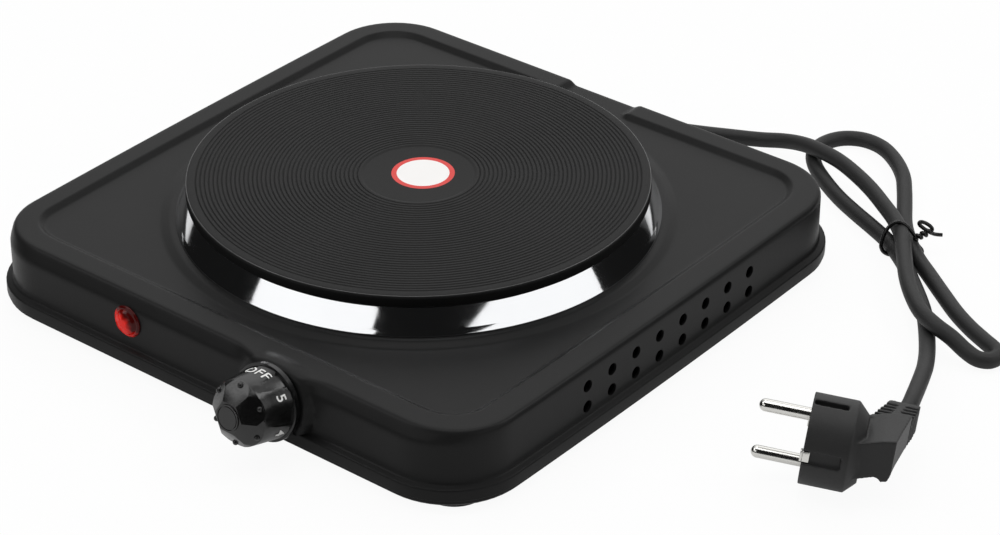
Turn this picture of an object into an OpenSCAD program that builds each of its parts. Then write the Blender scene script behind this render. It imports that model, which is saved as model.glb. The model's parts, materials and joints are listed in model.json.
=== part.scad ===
// Single electric hot plate: a pressed steel casing, a cast iron plate in a chrome spill ring,
// a thermostat with a turning knob, a pilot lamp and a mains cord tied in a bundle.
// Millimetres, +Z up. The origin is on the worktop, at the middle of the appliance's footprint.
// The knob is at the front, -Y, and the right-hand row of vent holes is at +X.

/* [Casing] */
// Width and depth of the casing over its upright walls
casing_w = 247; // [242:1:252]
// Outside radius of the casing's upright corners
corner_r = 29.5; // [27:0.5:32]
// Height of the casing's rim above the worktop
rim_z = 32; // [31.5:0.5:33]
// Thickness of the pressed steel sheet
steel_t = 1; // [0.8:0.1:1.1]
// Bend radius between the walls and the rim
shoulder_r = 4.5; // [3.5:0.5:5]
// How far the skirt at the bottom stands out from the walls
skirt_out = 3; // [2.5:0.5:3.5]
// Height of the worktop gap under the skirt
skirt_gap = 4.4; // [4:0.2:5]
// Height of the skirt's upright band
skirt_h = 4.5; // [4:0.5:5]
// Width of the rim from the wall's face to where the panel slopes down
rim_w = 13.7; // [12:0.1:15]
// How far the top panel lies below the rim
panel_drop = 1.8; // [1.2:0.1:2.2]
// Run of the slope between the rim and the panel
slope_w = 2.2; // [1.5:0.1:3]
// Height of the round plinth pressed into the panel
plinth_h = 1.2; // [0.8:0.1:1.4]
// Outer radius of the plinth's slope
plinth_r = 102.5; // [101:0.5:103]
// Length of the gap in the rim at the back
dip_len = 30; // [20:1:40]

/* [Vents] */
// Number of vent holes in each row
vent_count = 8; // [4:1:10]
// Distance between vent holes in a row
vent_pitch = 14.8; // [10:0.1:16]
// Radius of each vent hole
vent_r = 2.5; // [1.5:0.1:2.8]
// Height of the lower row of vent holes
vent_z = 13.8; // [13:0.1:15]
// Distance between the two rows
vent_rise = 9; // [8:0.5:9.5]
// How far the rows are shifted towards the back
vent_shift = 2; // [-5:0.5:5]

/* [Plate] */
// Radius of the cast iron plate
plate_r = 92.5; // [90:0.5:93]
// Height of the plate's top above the worktop
plate_z = 46.8; // [46:0.1:48]
// Thickness of the plate's rim
plate_t = 5; // [4:0.5:6]
// Outer radius of the chrome spill ring's foot
ring_r = 97; // [95:0.5:98]
// Radius of the opening in the casing under the plate
opening_r = 84; // [83:0.5:85]
// Radius of the stud that holds the plate down
stud_r = 3; // [2.5:0.5:3.5]

/* [Control] */
// Distance of the control's axis to the right of the middle
control_x = 35.3; // [30:0.1:40]
// Height of the control's axis where it meets the wall's face
control_z = 18.9; // [18:0.1:20]
// How far the control leans back, so that the knob faces up a little
control_lean = 10; // [0:1:11]
// Radius of the boss pressed out of the wall
boss_r = 17.5; // [17:0.5:18]
// How far the boss's face stands out along the axis
boss_out = 3.2; // [3:0.1:3.5]
// Radius of the knob's rear flange
flange_r = 15.3; // [15:0.1:16]
// Radius of the knob's fluted grip, next to its flange
grip_r = 14.4; // [14:0.1:14.8]
// Distance from the wall's face to the knob's front, along the axis
knob_reach = 27; // [25:0.5:29]
// Radius of the knob's small front disc
knob_tip_r = 5.2; // [4.5:0.1:6]
// Radius of the turning shaft
shaft_r = 3; // [2.5:0.5:3]

/* [Pilot lamp] */
// Distance of the lamp to the left of the middle
lamp_x = 41.5; // [38:0.5:50]
// Height of the lamp's axis
lamp_z = 21.7; // [20:0.1:22]
// Radius of the lamp's lens
lens_r = 6.4; // [5.5:0.1:6.5]

/* [Cord] */
// Diameter of the mains cord
cord_d = 6.6; // [6:0.1:6.8]
// Distance of the cord's outlet to the left of the middle
outlet_x = 30; // [26:1:34]
// Height of the cord's outlet
outlet_z = 17; // [16:0.5:18]
// How far the cord's bush stands out of the back wall
bush_out = 5.5; // [4.5:0.5:7]
// Radius of the plug's round body
plug_r = 17; // [16.5:0.1:18.5]
// Length of the plug's body behind its front face
plug_len = 16.5; // [15:0.5:18]
// Radius of the plug's contact pins
pin_r = 2.4; // [2.4:0.1:2.5]
// Distance between the plug's pins
pin_gap = 19; // [19:0.1:19]
// Length of the plug's pins in front of its face
pin_len = 19; // [18:0.5:19]

/* [Hidden] */
$fn = 96;

wall_face = casing_w / 2;
skirt_top = skirt_gap + skirt_h;
panel_z = rim_z - panel_drop;
plinth_z = panel_z + plinth_h;
ledge_r = 1.6;
slope_end = rim_w + slope_w;
panel_lap = 8;
plinth_slope = 2;
hole_gap = 0.15;

// The knob stands out at the front and the cord's bush at the back. The body is shifted so that
// the origin is midway between them.
front_reach = wall_face + knob_reach * cos(control_lean) + knob_tip_r * sin(control_lean);
back_reach = wall_face + bush_out;
body_y = (front_reach - back_reach) / 2;

// ---- Placing ----

module in_body() translate([0, body_y, 0]) children();

// Local +Z runs out of the wall along the control's axis, and local +Y runs up.
module at_control(out = 0) translate([control_x, -wall_face, control_z])
    rotate([90 - control_lean, 0, 0]) translate([0, 0, out]) children();

// Local +Z runs out of the front wall along the lamp's axis.
module at_lamp(out = 0) translate([-lamp_x, -wall_face - out, lamp_z]) rotate([90, 0, 0]) children();

// Local +Z runs out of the back wall along the cord's outlet.
module at_outlet(out = 0) translate([-outlet_x, wall_face + out, outlet_z])
    rotate([-90, 0, 0]) children();

module mirrored_x() for (side = [0, 1]) mirror([side, 0, 0]) children();

// ---- General shapes ----

module rounded_square(w, r) {
    square([w, w - 2 * r], center = true);
    square([w - 2 * r, w], center = true);
    for (x = [-1, 1], y = [-1, 1]) translate([x * (w / 2 - r), y * (w / 2 - r)]) circle(r = r);
}

module ring(r_out, r_in, h) difference() {
    cylinder(r = r_out, h = h);
    translate([0, 0, -1]) cylinder(r = r_in, h = h + 2);
}

module box(size, at) translate(at) cube(size, center = true);

function along(p, i) = p[max(0, min(len(p) - 1, i))];

// A point on the smooth curve through the list p, between its points i and i + 1
function curve_point(p, i, t) = let (a = i == 0 ? 2 * p[0] - p[1] : p[i - 1], b = p[i], c = along(p, i + 1),
    d = i + 2 < len(p) ? p[i + 2] : 2 * p[len(p) - 1] - p[len(p) - 2])
    0.5 * (2 * b + (c - a) * t + (2 * a - 5 * b + 4 * c - d) * t * t + (3 * b - a - 3 * c + d) * t * t * t);

function curve(p, steps) = [for (i = [0 : len(p) - 2], k = [0 : steps - 1]) curve_point(p, i, k / steps),
    p[len(p) - 1]];

function unit(v) = v / norm(v);

// The frame's sideways direction at each point, carried along so that the tube doesn't twist
function carried(path, i, side) = let (t = unit(along(path, i + 1) - along(path, i - 1)))
    unit(side - (side * t) * t);
function sides_of(path, i = 0, side = [0.13, 0.21, 0.97], done = []) = i == len(path) ? done
    : let (s = carried(path, i, side)) sides_of(path, i + 1, s, concat(done, [s]));

// A round tube along a path of points
module tube(path, r, n = 10) {
    side = sides_of(path);
    count = len(path);
    points = [for (i = [0 : count - 1]) let (t = unit(along(path, i + 1) - along(path, i - 1)),
        u = side[i], v = cross(t, u)) for (k = [0 : n - 1])
        path[i] + r * (cos(360 * k / n) * u + sin(360 * k / n) * v)];
    walls = [for (i = [0 : count - 2], k = [0 : n - 1])
        [i * n + k, (i + 1) * n + k, (i + 1) * n + (k + 1) % n, i * n + (k + 1) % n]];
    polyhedron(points, concat([[for (k = [0 : n - 1]) k]], walls,
        [[for (k = [n - 1 : -1 : 0]) (count - 1) * n + k]]));
}

// ---- Casing ----

// A quarter of a ring of sheet, bending from a wall's face at its right to a flat at its top
module bend(at, r) translate(at) intersection() {
    difference() {
        circle(r = r);
        circle(r = r - steel_t);
    }
    square([r, r]);
}

// Section through the casing's edge: x is measured outwards from the wall's face, y is the height
module edge_section(top) {
    translate([skirt_out - steel_t, skirt_gap]) square([steel_t, skirt_h - ledge_r]);
    bend([skirt_out - ledge_r, skirt_top - ledge_r], ledge_r);
    translate([-steel_t, skirt_top - steel_t]) square([skirt_out + steel_t - ledge_r, steel_t]);
    translate([-steel_t, skirt_top - steel_t]) square([steel_t, top - shoulder_r - skirt_top + steel_t]);
    bend([-shoulder_r, top - shoulder_r], shoulder_r);
    translate([-rim_w, top - steel_t]) square([rim_w - shoulder_r, steel_t]);
    polygon([[-rim_w, top], [-rim_w, top - steel_t], [-slope_end, panel_z - steel_t], [-slope_end, panel_z]]);
    translate([-slope_end - panel_lap, panel_z - steel_t]) square([panel_lap, steel_t]);
}

// Everything under a surface whose wall face is at x = face and whose top is at y = top
module under(top, face, r) {
    low = panel_z - 2 * shoulder_r;
    translate([-slope_end, low]) square([slope_end + face, top - r - low]);
    translate([-slope_end, low]) square([slope_end + face - r, top - low]);
    translate([face - r, top - r]) circle(r = r);
}

// One straight run of the edge, on the side turned by 90 degrees times the side's number
module edge_run(side, from, to) rotate([0, 0, 90 * side]) translate([wall_face, to, 0])
    rotate([90, 0, 0]) linear_extrude(to - from) children();

module casing_edge() {
    straight = wall_face - corner_r;
    for (side = [0 : 3]) rotate([0, 0, 90 * side]) translate([straight, straight, 0])
        rotate_extrude(angle = 90) translate([corner_r, 0]) edge_section(rim_z);
    for (side = [0, 2, 3]) edge_run(side, -straight, straight) edge_section(rim_z);
    edge_run(1, -straight, -dip_len / 2) edge_section(rim_z);
    edge_run(1, dip_len / 2, straight) edge_section(rim_z);
    edge_run(1, -dip_len / 2, dip_len / 2) edge_section(panel_z);
    for (from = [-dip_len / 2 - steel_t, dip_len / 2]) edge_run(1, from, from + steel_t) difference() {
        intersection() {
            under(rim_z, 0, shoulder_r);
            polygon([[0, 0], [0, rim_z], [-rim_w, rim_z], [-slope_end, panel_z], [-slope_end, 0]]);
        }
        under(panel_z - steel_t, -steel_t, shoulder_r - steel_t);
    }
}

module top_panel() {
    panel_half = wall_face - slope_end - panel_lap / 2;
    translate([0, 0, panel_z - steel_t]) linear_extrude(steel_t) difference() {
        rounded_square(2 * panel_half, 8);
        circle(r = plinth_r);
    }
    rotate_extrude() {
        polygon([[plinth_r + 0.5, panel_z], [plinth_r, panel_z], [plinth_r - plinth_slope, plinth_z],
            [opening_r, plinth_z], [opening_r, plinth_z - steel_t], [plinth_r - plinth_slope, plinth_z - steel_t],
            [plinth_r, panel_z - steel_t], [plinth_r + 0.5, panel_z - steel_t]]);
    }
}

// The boss's round pad, kept between the skirt and the rim
module boss(r, face, low, high, inner) intersection() {
    at_control(-12) cylinder(r = r, h = 12 + face);
    translate([control_x - 30, -wall_face - 12, low]) cube([60, 12 + inner, high - low]);
}

// Tongues inside the skirt that the base cover's screws bite into
tongue_z = 6.4;
tongue_in = wall_face - 17.5;
module tongues() for (side = [0 : 3]) rotate([0, 0, 90 * side]) {
    box([steel_t, 14, skirt_top - tongue_z], [wall_face - 1.5 * steel_t, 0, (skirt_top + tongue_z) / 2]);
    box([wall_face - steel_t - tongue_in, 14, steel_t],
        [(wall_face - steel_t + tongue_in) / 2, 0, tongue_z + steel_t / 2]);
}

module vent_holes() for (side = [-1, 1], row = [0, 1], i = [0 : vent_count - 1])
    translate([side * wall_face, (i - (vent_count - 1) / 2) * vent_pitch + vent_shift, vent_z + row * vent_rise])
        rotate([0, 90, 0]) cylinder(r = vent_r, h = 4 * steel_t, center = true);

screw_spot = wall_face - 10.5;
control_hole_x = 10.5;
module housing() color([0.1, 0.1, 0.105]) in_body() difference() {
    union() {
        casing_edge();
        top_panel();
        tongues();
        boss(boss_r, boss_out, skirt_top - steel_t, rim_z - 0.4, shoulder_r + 1);
    }
    boss(boss_r - steel_t, boss_out - steel_t, skirt_top, rim_z - 0.4 - steel_t, shoulder_r + 3);
    vent_holes();
    at_control() cylinder(r = 5, h = 10);
    for (x = [-control_hole_x, control_hole_x]) at_control() translate([x, 0, 0]) cylinder(r = 1.8, h = 10);
    at_lamp(-3) cylinder(r = lens_r - 0.3 + hole_gap, h = 6);
    at_outlet(-4) cylinder(r = 6 + hole_gap, h = 8);
    for (side = [0 : 3]) rotate([0, 0, 90 * side]) translate([screw_spot, 0, 0]) cylinder(r = 1.5, h = 12);
    mirrored_x() translate([bridge_hole_x, 0, 25]) cylinder(r = 1.7, h = 10);
}

// ---- Base ----

foot_spot = wall_face - 18;
cover_z = 5.2;
module base_cover() color([0.13, 0.13, 0.135]) in_body() {
    half = wall_face + skirt_out - steel_t - 0.5;
    outer_r = corner_r + skirt_out - steel_t - 0.5;
    translate([0, 0, cover_z]) linear_extrude(steel_t) difference() {
        rounded_square(2 * half, outer_r);
        for (x = [-1, 1], y = [-1, 1]) translate([x * foot_spot, y * foot_spot]) circle(r = 4);
        for (side = [0 : 3]) rotate(90 * side) translate([screw_spot, 0]) circle(r = 1.9);
        for (i = [-5 : 5], row = [-3 : 3]) if (i * i + row * row > 3) translate([i * 12, row * 14]) circle(r = 2);
    }
    translate([0, 0, cover_z + steel_t / 2]) linear_extrude(2) difference() {
        rounded_square(2 * half, outer_r);
        rounded_square(2 * (half - steel_t), outer_r - steel_t);
    }
}

module rubber_foot(x, y) color([0.06, 0.06, 0.06]) in_body() translate([x * foot_spot, y * foot_spot, 0])
    rotate_extrude() polygon([[0, 0], [12.6, 0], [13.4, 0.8], [14, cover_z - 0.05], [3.9, cover_z - 0.05],
        [3.9, cover_z + steel_t + 0.1], [5.2, cover_z + steel_t + 0.1], [3.6, cover_z + steel_t + 2.6], [0, cover_z + steel_t + 2.6]]);

module pan_screw(r, length, head_r, head_h) {
    translate([0, 0, -head_h]) cylinder(r = head_r, h = head_h);
    cylinder(r = r, h = length);
}

module base_screws() color([0.7, 0.7, 0.72]) in_body() for (side = [0 : 3]) rotate([0, 0, 90 * side])
    translate([screw_spot, 0, cover_z]) difference() {
        pan_screw(1.45, 6, 3.2, 1.8);
        for (turn = [0, 90]) rotate([0, 0, turn]) box([3.6, 0.8, 1.6], [0, 0, -1.8]);
    }

// ---- Plate ----

block_r = plate_r - 10.5;
block_z = 34;
under_z = plate_z - plate_t;
channels = [[block_r - 44, block_r - 30], [block_r - 24, block_r - 6]];
channel_top = under_z - 1.8;
hub_z = block_z + 2;
coil_r = 2;
coil_z = block_z + 3.2;
core_r = block_r - 52;
centre_r = 23;
centre_drop = 0.5;

module hot_plate() color([0.12, 0.12, 0.12]) in_body() difference() {
    rotate_extrude() difference() {
        union() {
            translate([0, under_z]) square([plate_r - 0.8, plate_t]);
            translate([0, under_z]) square([plate_r, plate_t - 0.8]);
            translate([plate_r - 0.8, plate_z - 0.8]) circle(r = 0.8);
            translate([core_r, block_z]) square([block_r - core_r, under_z - block_z + 1]);
            translate([0, hub_z]) square([12, under_z - hub_z + 1]);
        }
        for (c = channels) translate([c[0], block_z - 1]) square([c[1] - c[0], channel_top - block_z + 1]);
    }
    translate([0, 0, hub_z - 1]) cylinder(r = stud_r, h = 9);
    translate([0, 0, plate_z - centre_drop]) cylinder(r = centre_r, h = 1);
}

module coil_ring(c) rotate_extrude() translate([(c[0] + c[1]) / 2, coil_z]) circle(r = coil_r);

lead_angles = [250, 290];
module coil_leads(r) for (i = [0, 1]) rotate([0, 0, lead_angles[i]])
    translate([(channels[i][0] + channels[i][1]) / 2, 0, 27]) cylinder(r = r, h = coil_z - 27);

module heating_coils() color([0.55, 0.53, 0.5]) in_body() {
    for (c = channels) coil_ring(c);
    coil_leads(1.1);
}

module coil_cement() color([0.8, 0.78, 0.72]) in_body() difference() {
    rotate_extrude() for (c = channels) translate([c[0] + 0.1, block_z + 0.1])
        square([c[1] - c[0] - 0.2, channel_top - block_z - 0.2]);
    for (c = channels) coil_ring(c);
    coil_leads(1.1);
}

module plate_cover() color([0.6, 0.6, 0.62]) in_body() difference() {
    translate([0, 0, block_z - 0.9]) ring(block_r, 13, 0.8);
    coil_leads(2.2);
}

ring_t = 0.8;
module spill_ring() color([0.9, 0.9, 0.92]) in_body() {
    top = under_z - 0.3;
    neck = plate_r - 2.1;
    flare = ring_r - 1.4;
    rotate_extrude() polygon([[block_r + 2.5, top], [neck, top], [flare, plinth_z + 2.4],
        [ring_r, plinth_z + 0.7], [ring_r, plinth_z + 0.05], [ring_r - 0.9, plinth_z + 0.05],
        [flare - 1.1, plinth_z + 1.9], [neck - 0.9, top - ring_t], [block_r + 2.5, top - ring_t]]);
}

module centre_label() color([0.93, 0.93, 0.92]) in_body() translate([0.8, 1.7, plate_z - centre_drop + 0.01])
    cylinder(r = 12.6, h = 0.15);

bridge_z = 21;
bridge_t = 1.5;
seat_z = plinth_z - steel_t;
reflector_z = 24.2;
reflector_lip = 2.8;
bridge_foot = opening_r + reflector_lip + 0.4;
bridge_foot_len = 0.55 * (plinth_r - plinth_slope - bridge_foot);
bridge_hole_x = bridge_foot + bridge_foot_len / 2;
module centre_stud() color([0.72, 0.72, 0.74]) in_body()
    translate([0, 0, 13]) cylinder(r = stud_r - 0.02, h = hub_z + 8 - 13);

module clamp_bridge() color([0.66, 0.67, 0.68]) in_body() difference() {
    union() {
        translate([-bridge_foot - bridge_t, -9, bridge_z]) cube([2 * (bridge_foot + bridge_t), 18, bridge_t]);
        mirrored_x() {
            translate([bridge_foot, -9, bridge_z]) cube([bridge_t, 18, seat_z - 0.1 - bridge_z]);
            translate([bridge_foot, -9, seat_z - 0.1 - bridge_t]) cube([bridge_foot_len, 18, bridge_t]);
        }
    }
    translate([0, 0, bridge_z - 1]) cylinder(r = stud_r + 0.4, h = 4);
    mirrored_x() translate([bridge_hole_x, 0, bridge_z]) cylinder(r = 1.7, h = 12);
}

module bridge_screws() color([0.7, 0.7, 0.72]) in_body() mirrored_x() translate([bridge_hole_x, 0, plinth_z + 0.05])
    mirror([0, 0, 1]) pan_screw(1.6, 6, 3, 1.4);

module stud_washer() color([0.72, 0.72, 0.74]) in_body() translate([0, 0, bridge_z - 1.3]) ring(9, stud_r + 0.3, 1.2);

module stud_nut() color([0.78, 0.78, 0.8]) in_body() difference() {
    translate([0, 0, bridge_z - 6.5]) cylinder(r = 5.8, h = 5.1, $fn = 6);
    translate([0, 0, bridge_z - 7]) cylinder(r = stud_r, h = 7);
}

module heat_reflector() color([0.78, 0.79, 0.8]) in_body() difference() {
    top = seat_z - 0.1;
    rotate_extrude() polygon([[0, reflector_z], [opening_r - 5, reflector_z], [opening_r - 1.4, top - 0.8],
        [opening_r + reflector_lip, top - 0.8], [opening_r + reflector_lip, top], [opening_r - 2, top],
        [opening_r - 5.6, reflector_z + 0.8], [0, reflector_z + 0.8]]);
    translate([0, 0, reflector_z - 1]) cylinder(r = stud_r + 0.4, h = 4);
    coil_leads(3);
}

module thermal_fuse() color([0.85, 0.83, 0.78]) in_body() translate([-40, -42, reflector_z - 3.1]) {
    rotate([0, 90, 0]) cylinder(r = 2.8, h = 24);
    for (x = [-6, 24]) translate([x, 0, 0]) rotate([0, 90, 0]) cylinder(r = 0.7, h = 6.5);
}

// ---- Control ----

frame_face = boss_out - steel_t - 0.05;
frame_t = 1.2;
module control_frame() color([0.7, 0.71, 0.72]) in_body() at_control() difference() {
    union() {
        box([27.6, 14, frame_t], [0, 0, frame_face - frame_t / 2]);
        for (x = [-1, 1]) box([frame_t, 11, 28], [x * 13.2, 0, frame_face - 14]);
        box([27.6, 11, frame_t], [0, 0, frame_face - 28 + frame_t / 2]);
    }
    translate([0, 0, -40]) cylinder(r = 4.6, h = 50);
    for (x = [-control_hole_x, control_hole_x]) translate([x, 0, -1]) cylinder(r = 1.5, h = 6);
    box([4, 7.4, 8], [13.2, 0, ceramic_back + 6.2]);
}

module control_bush() color([0.78, 0.68, 0.4]) in_body() at_control() difference() {
    union() {
        translate([0, 0, frame_face - 5]) cylinder(r = 4.5, h = 6.2);
        translate([0, 0, frame_face - frame_t - 2.6]) cylinder(r = 6.2, h = 2.5);
    }
    translate([0, 0, frame_face - 6]) cylinder(r = shaft_r + 0.05, h = 10);
}

module control_screws() color([0.7, 0.7, 0.72]) in_body() for (x = [-control_hole_x, control_hole_x])
    at_control(boss_out + 0.05) translate([x, 0, 0]) mirror([0, 0, 1]) pan_screw(1.45, 5, 2.8, 0.7);

ceramic_back = frame_face - 26.6;
module control_ceramics() color([0.9, 0.88, 0.82]) in_body() at_control() for (i = [0 : 2]) difference() {
    box([22, 9.6, 3.4], [0, 0, ceramic_back + 1.75 + i * 4.6]);
    translate([7, 0, ceramic_back - 1]) cylinder(r = 1.6, h = 20);
    translate([-5.4, 0, ceramic_back + 4]) cylinder(r = 4.6, h = 20);
}

module control_rivet() color([0.75, 0.73, 0.7]) in_body() at_control() translate([7, 0, ceramic_back + 0.05]) {
    cylinder(r = 1.5, h = 13.6);
    translate([0, 0, 13.1]) cylinder(r = 2.8, h = 0.8);
}

module bimetal_blade() color([0.7, 0.62, 0.5]) in_body() at_control() difference() {
    box([21, 6, 0.7], [-0.5, 0, ceramic_back + 4.05]);
    translate([7, 0, ceramic_back]) cylinder(r = 1.6, h = 10);
}

module contact_blades() color([0.8, 0.6, 0.42]) in_body() at_control() difference() {
    union() {
        box([19, 5, 0.5], [0.5, 0, ceramic_back + 8.4]);
        box([19, 5, 0.5], [0.5, 0, ceramic_back + 9]);
        translate([-7, 0, ceramic_back + 9.2]) cylinder(r = 1.8, h = 0.8);
    }
    translate([7, 0, ceramic_back]) cylinder(r = 1.6, h = 16);
}

module control_tabs() color([0.75, 0.75, 0.76]) in_body() at_control() for (z = [4.05, 8.65])
    box([10, 5, 0.8], [15.05, 0, ceramic_back + z]);

module control_shaft() color([0.76, 0.76, 0.78]) in_body() at_control() difference() {
    translate([0, 0, -9]) cylinder(r = shaft_r, h = 26);
    box([8, 4, 14], [0, shaft_r + 1, 17]);
}

module control_cam() color([0.92, 0.9, 0.84]) in_body() at_control() difference() {
    translate([0, 0, -8.6]) cylinder(r = 5.2, h = 3.6);
    translate([0, 0, -10]) cylinder(r = shaft_r + 0.02, h = 8);
}

// ---- Knob ----

flange_back = boss_out + 1.3;
flange_t = 2;
grip_front_r = grip_r - 1.5;
facet_start = knob_reach - 7;
disc_t = 0.5;
facet_lean = atan((grip_front_r - knob_tip_r - 0.5) / (knob_reach - disc_t - facet_start));
flute_r = 9.6;
flute_depth = 1.2;

module sixfold() for (i = [0 : 5]) rotate([0, 0, -60 * i]) children();

module knob() color([0.03, 0.03, 0.032]) in_body() at_control() difference() {
    root = flange_back + flange_t;
    union() {
        translate([0, 0, flange_back]) cylinder(r = flange_r, h = flange_t);
        difference() {
            rotate_extrude() polygon([[0, flange_back], [grip_r, flange_back], [grip_r, root],
                [grip_front_r, facet_start + 0.5], [grip_front_r - 2, facet_start + 3.2],
                [grip_front_r - 2, knob_reach - disc_t], [0, knob_reach - disc_t]]);
            sixfold() translate([0, grip_front_r, facet_start]) rotate([facet_lean, 0, 0])
                translate([-20, 0, -12]) cube([40, 20, 30]);
            sixfold() rotate([0, 0, -30]) translate([0, grip_r - flute_depth + flute_r, root]) rotate([0.8, 0, 0])
                cylinder(r = flute_r, h = 16);
        }
        translate([0, 0, knob_reach - 3]) cylinder(r = knob_tip_r, h = 3);
        sixfold() translate([0, grip_front_r - 1.3, facet_start + 1.1]) sphere(r = 1.15);
    }
    translate([0, 0, flange_back - 1]) cylinder(r = shaft_r + 0.02, h = 19 - flange_back);
    translate([0, 0, flange_back - 1]) difference() {
        cylinder(r = grip_r - 3.2, h = 11);
        cylinder(r = shaft_r + 2, h = 20);
    }
}

module knob_spring() color([0.8, 0.8, 0.82]) in_body() at_control() translate([0, 0, 9.2])
    ring(shaft_r + 2.7, shaft_r + 2.05, 4);

// ---- Pilot lamp ----

module lamp_lens() color([0.75, 0.05, 0.04]) in_body() at_lamp() difference() {
    union() {
        translate([0, 0, 0.05]) cylinder(r = lens_r + 0.9, h = 0.9);
        rotate_extrude() intersection() {
            translate([0, 0.9]) square([lens_r, 4]);
            translate([0, -4.6]) circle(r = 8.4);
        }
        translate([0, 0, -9]) cylinder(r = lens_r - 0.3, h = 10);
    }
    translate([0, 0, -10]) cylinder(r = lens_r - 1.6, h = 11.5);
}

lamp_depth = 20;
module lamp_holder() color([0.85, 0.84, 0.8]) in_body() at_lamp(-lamp_depth) difference() {
    cylinder(r = lens_r - 0.3, h = 10.9);
    translate([0, 0, 2]) cylinder(r = 3.4, h = 20);
}

module lamp_clip() color([0.75, 0.75, 0.77]) in_body() at_lamp(-steel_t - 0.65) intersection() {
    ring(lens_r + 1.4, lens_r - 0.25, 0.6);
    box([30, 15, 4], [0, -3.5, 0]);
}

module neon_bulb() color([0.95, 0.6, 0.4]) in_body() at_lamp(-17.5) {
    cylinder(r = 2.8, h = 12);
    translate([0, 0, 12]) sphere(r = 2.8);
}

module lamp_resistor() color([0.75, 0.62, 0.45]) in_body() at_lamp(-lamp_depth - 17.1) {
    cylinder(r = 0.35, h = 17);
    translate([0, 0, 5]) cylinder(r = 1.3, h = 7);
}

// ---- Cord entry and wiring ----

module cord_bush() color([0.05, 0.05, 0.05]) in_body() at_outlet() difference() {
    union() {
        translate([0, 0, -6]) cylinder(r = 6, h = 6 + bush_out);
        translate([0, 0, 0.05]) cylinder(r = 8, h = 2.6);
        translate([0, 0, -steel_t - 2.8]) cylinder(r = 7.4, h = 2.7);
    }
    translate([0, 0, -7]) cylinder(r = cord_d / 2 + 0.1, h = 20);
}

clamp_y = wall_face - 19.5;
block_y = wall_face - 47.5;
cord_end_y = clamp_y - 7;
floor_z = cover_z + steel_t;
module cord_clamp() color([0.86, 0.85, 0.82]) in_body() translate([-outlet_x, clamp_y, 0]) {
    box([22, 9, 5.6], [0, 0, floor_z + 2.9]);
    box([22, 9, 3], [0, 0, outlet_z + cord_d / 2 + 0.1 + 1.5]);
    for (x = [-1, 1]) box([5, 9, outlet_z + cord_d / 2 - floor_z - 5.6], [x * 8.5, 0,
        (outlet_z + cord_d / 2 + floor_z + 5.9) / 2]);
}

module clamp_screws() color([0.7, 0.7, 0.72]) in_body() for (x = [-8.5, 8.5])
    translate([-outlet_x + x, clamp_y, outlet_z + cord_d / 2 + 3.15]) ring(2.6, 0.6, 1.6);

module terminal_bracket() color([0.7, 0.71, 0.72]) in_body() translate([-outlet_x, block_y, floor_z + 0.05])
    translate([-24, -9, 0]) cube([48, 18, 1]);

module terminal_block() color([0.92, 0.9, 0.84]) in_body() translate([-outlet_x, block_y, floor_z + 1.1])
    difference() {
        translate([-18, -7, 0]) cube([36, 14, 10]);
        for (x = [-11.5, 0, 11.5]) {
            translate([x, 8, 4.5]) rotate([90, 0, 0]) cylinder(r = 2, h = 16);
            translate([x, -3.5, 4]) cylinder(r = 2.2, h = 7);
        }
    }

module terminal_screws() color([0.8, 0.7, 0.42]) in_body() for (x = [-11.5, 0, 11.5])
    translate([-outlet_x + x, block_y - 3.5, floor_z + 7.2]) cylinder(r = 2.1, h = 3.4);

earth_at = [20, wall_face - 37.5];
module earth_screw() color([0.78, 0.68, 0.4]) in_body() translate([earth_at[0], earth_at[1], floor_z + 1.1])
    mirror([0, 0, 1]) pan_screw(1.9, 1, 3.8, 2.4);

module earth_tag() color([0.8, 0.8, 0.78]) in_body() translate([earth_at[0], earth_at[1], floor_z + 0.05])
    ring(4.2, 2, 0.95);

wire_r = 1.3;
module wire(points, tint) color(tint) in_body() tube(curve(points, 4), wire_r, 8);

module live_wire() wire([[-outlet_x - 1.5, cord_end_y - 0.3, outlet_z - 0.8],
    [-outlet_x - 1.6, cord_end_y - 2, outlet_z - 0.9], [-outlet_x - 5, cord_end_y - 5, 15],
    [-outlet_x - 9, cord_end_y - 8, 13], [-outlet_x - 11.5, block_y + 9, floor_z + 5.8],
    [-outlet_x - 11.5, block_y + 3, floor_z + 5.6]], [0.4, 0.22, 0.1]);

module neutral_wire() wire([[-outlet_x + 1.5, cord_end_y - 0.3, outlet_z - 0.8],
    [-outlet_x + 1.5, cord_end_y - 2, outlet_z - 0.9], [-outlet_x + 1.2, cord_end_y - 5, 15],
    [-outlet_x + 0.4, cord_end_y - 8, 13], [-outlet_x, block_y + 9, floor_z + 5.8],
    [-outlet_x, block_y + 3, floor_z + 5.6]], [0.12, 0.3, 0.65]);

module earth_wire() wire([[-outlet_x, cord_end_y - 0.3, outlet_z + 1.8], [-outlet_x + 0.2, cord_end_y - 2, outlet_z + 1.9],
    [-outlet_x + 4, cord_end_y - 4, 18.2], [-16, cord_end_y - 5, 14.5], [6, cord_end_y - 5, 10],
    [earth_at[0] - 5.7, earth_at[1] + 1, floor_z + 1.5]], [0.5, 0.62, 0.12]);

module lamp_wire() wire([[-lamp_x, -wall_face + lamp_depth + 17.3, lamp_z], [-lamp_x - 4, -78, 18.5], [-58, -60, 11],
    [-74, -10, 9], [-70, 40, 9], [-outlet_x - 20, block_y - 20, 10], [-outlet_x - 11.5, block_y - 10, floor_z + 5.6],
    [-outlet_x - 11.5, block_y - 4, floor_z + 5.6]], [0.75, 0.72, 0.66]);

// ---- Cord, tie and plug ----

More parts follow.
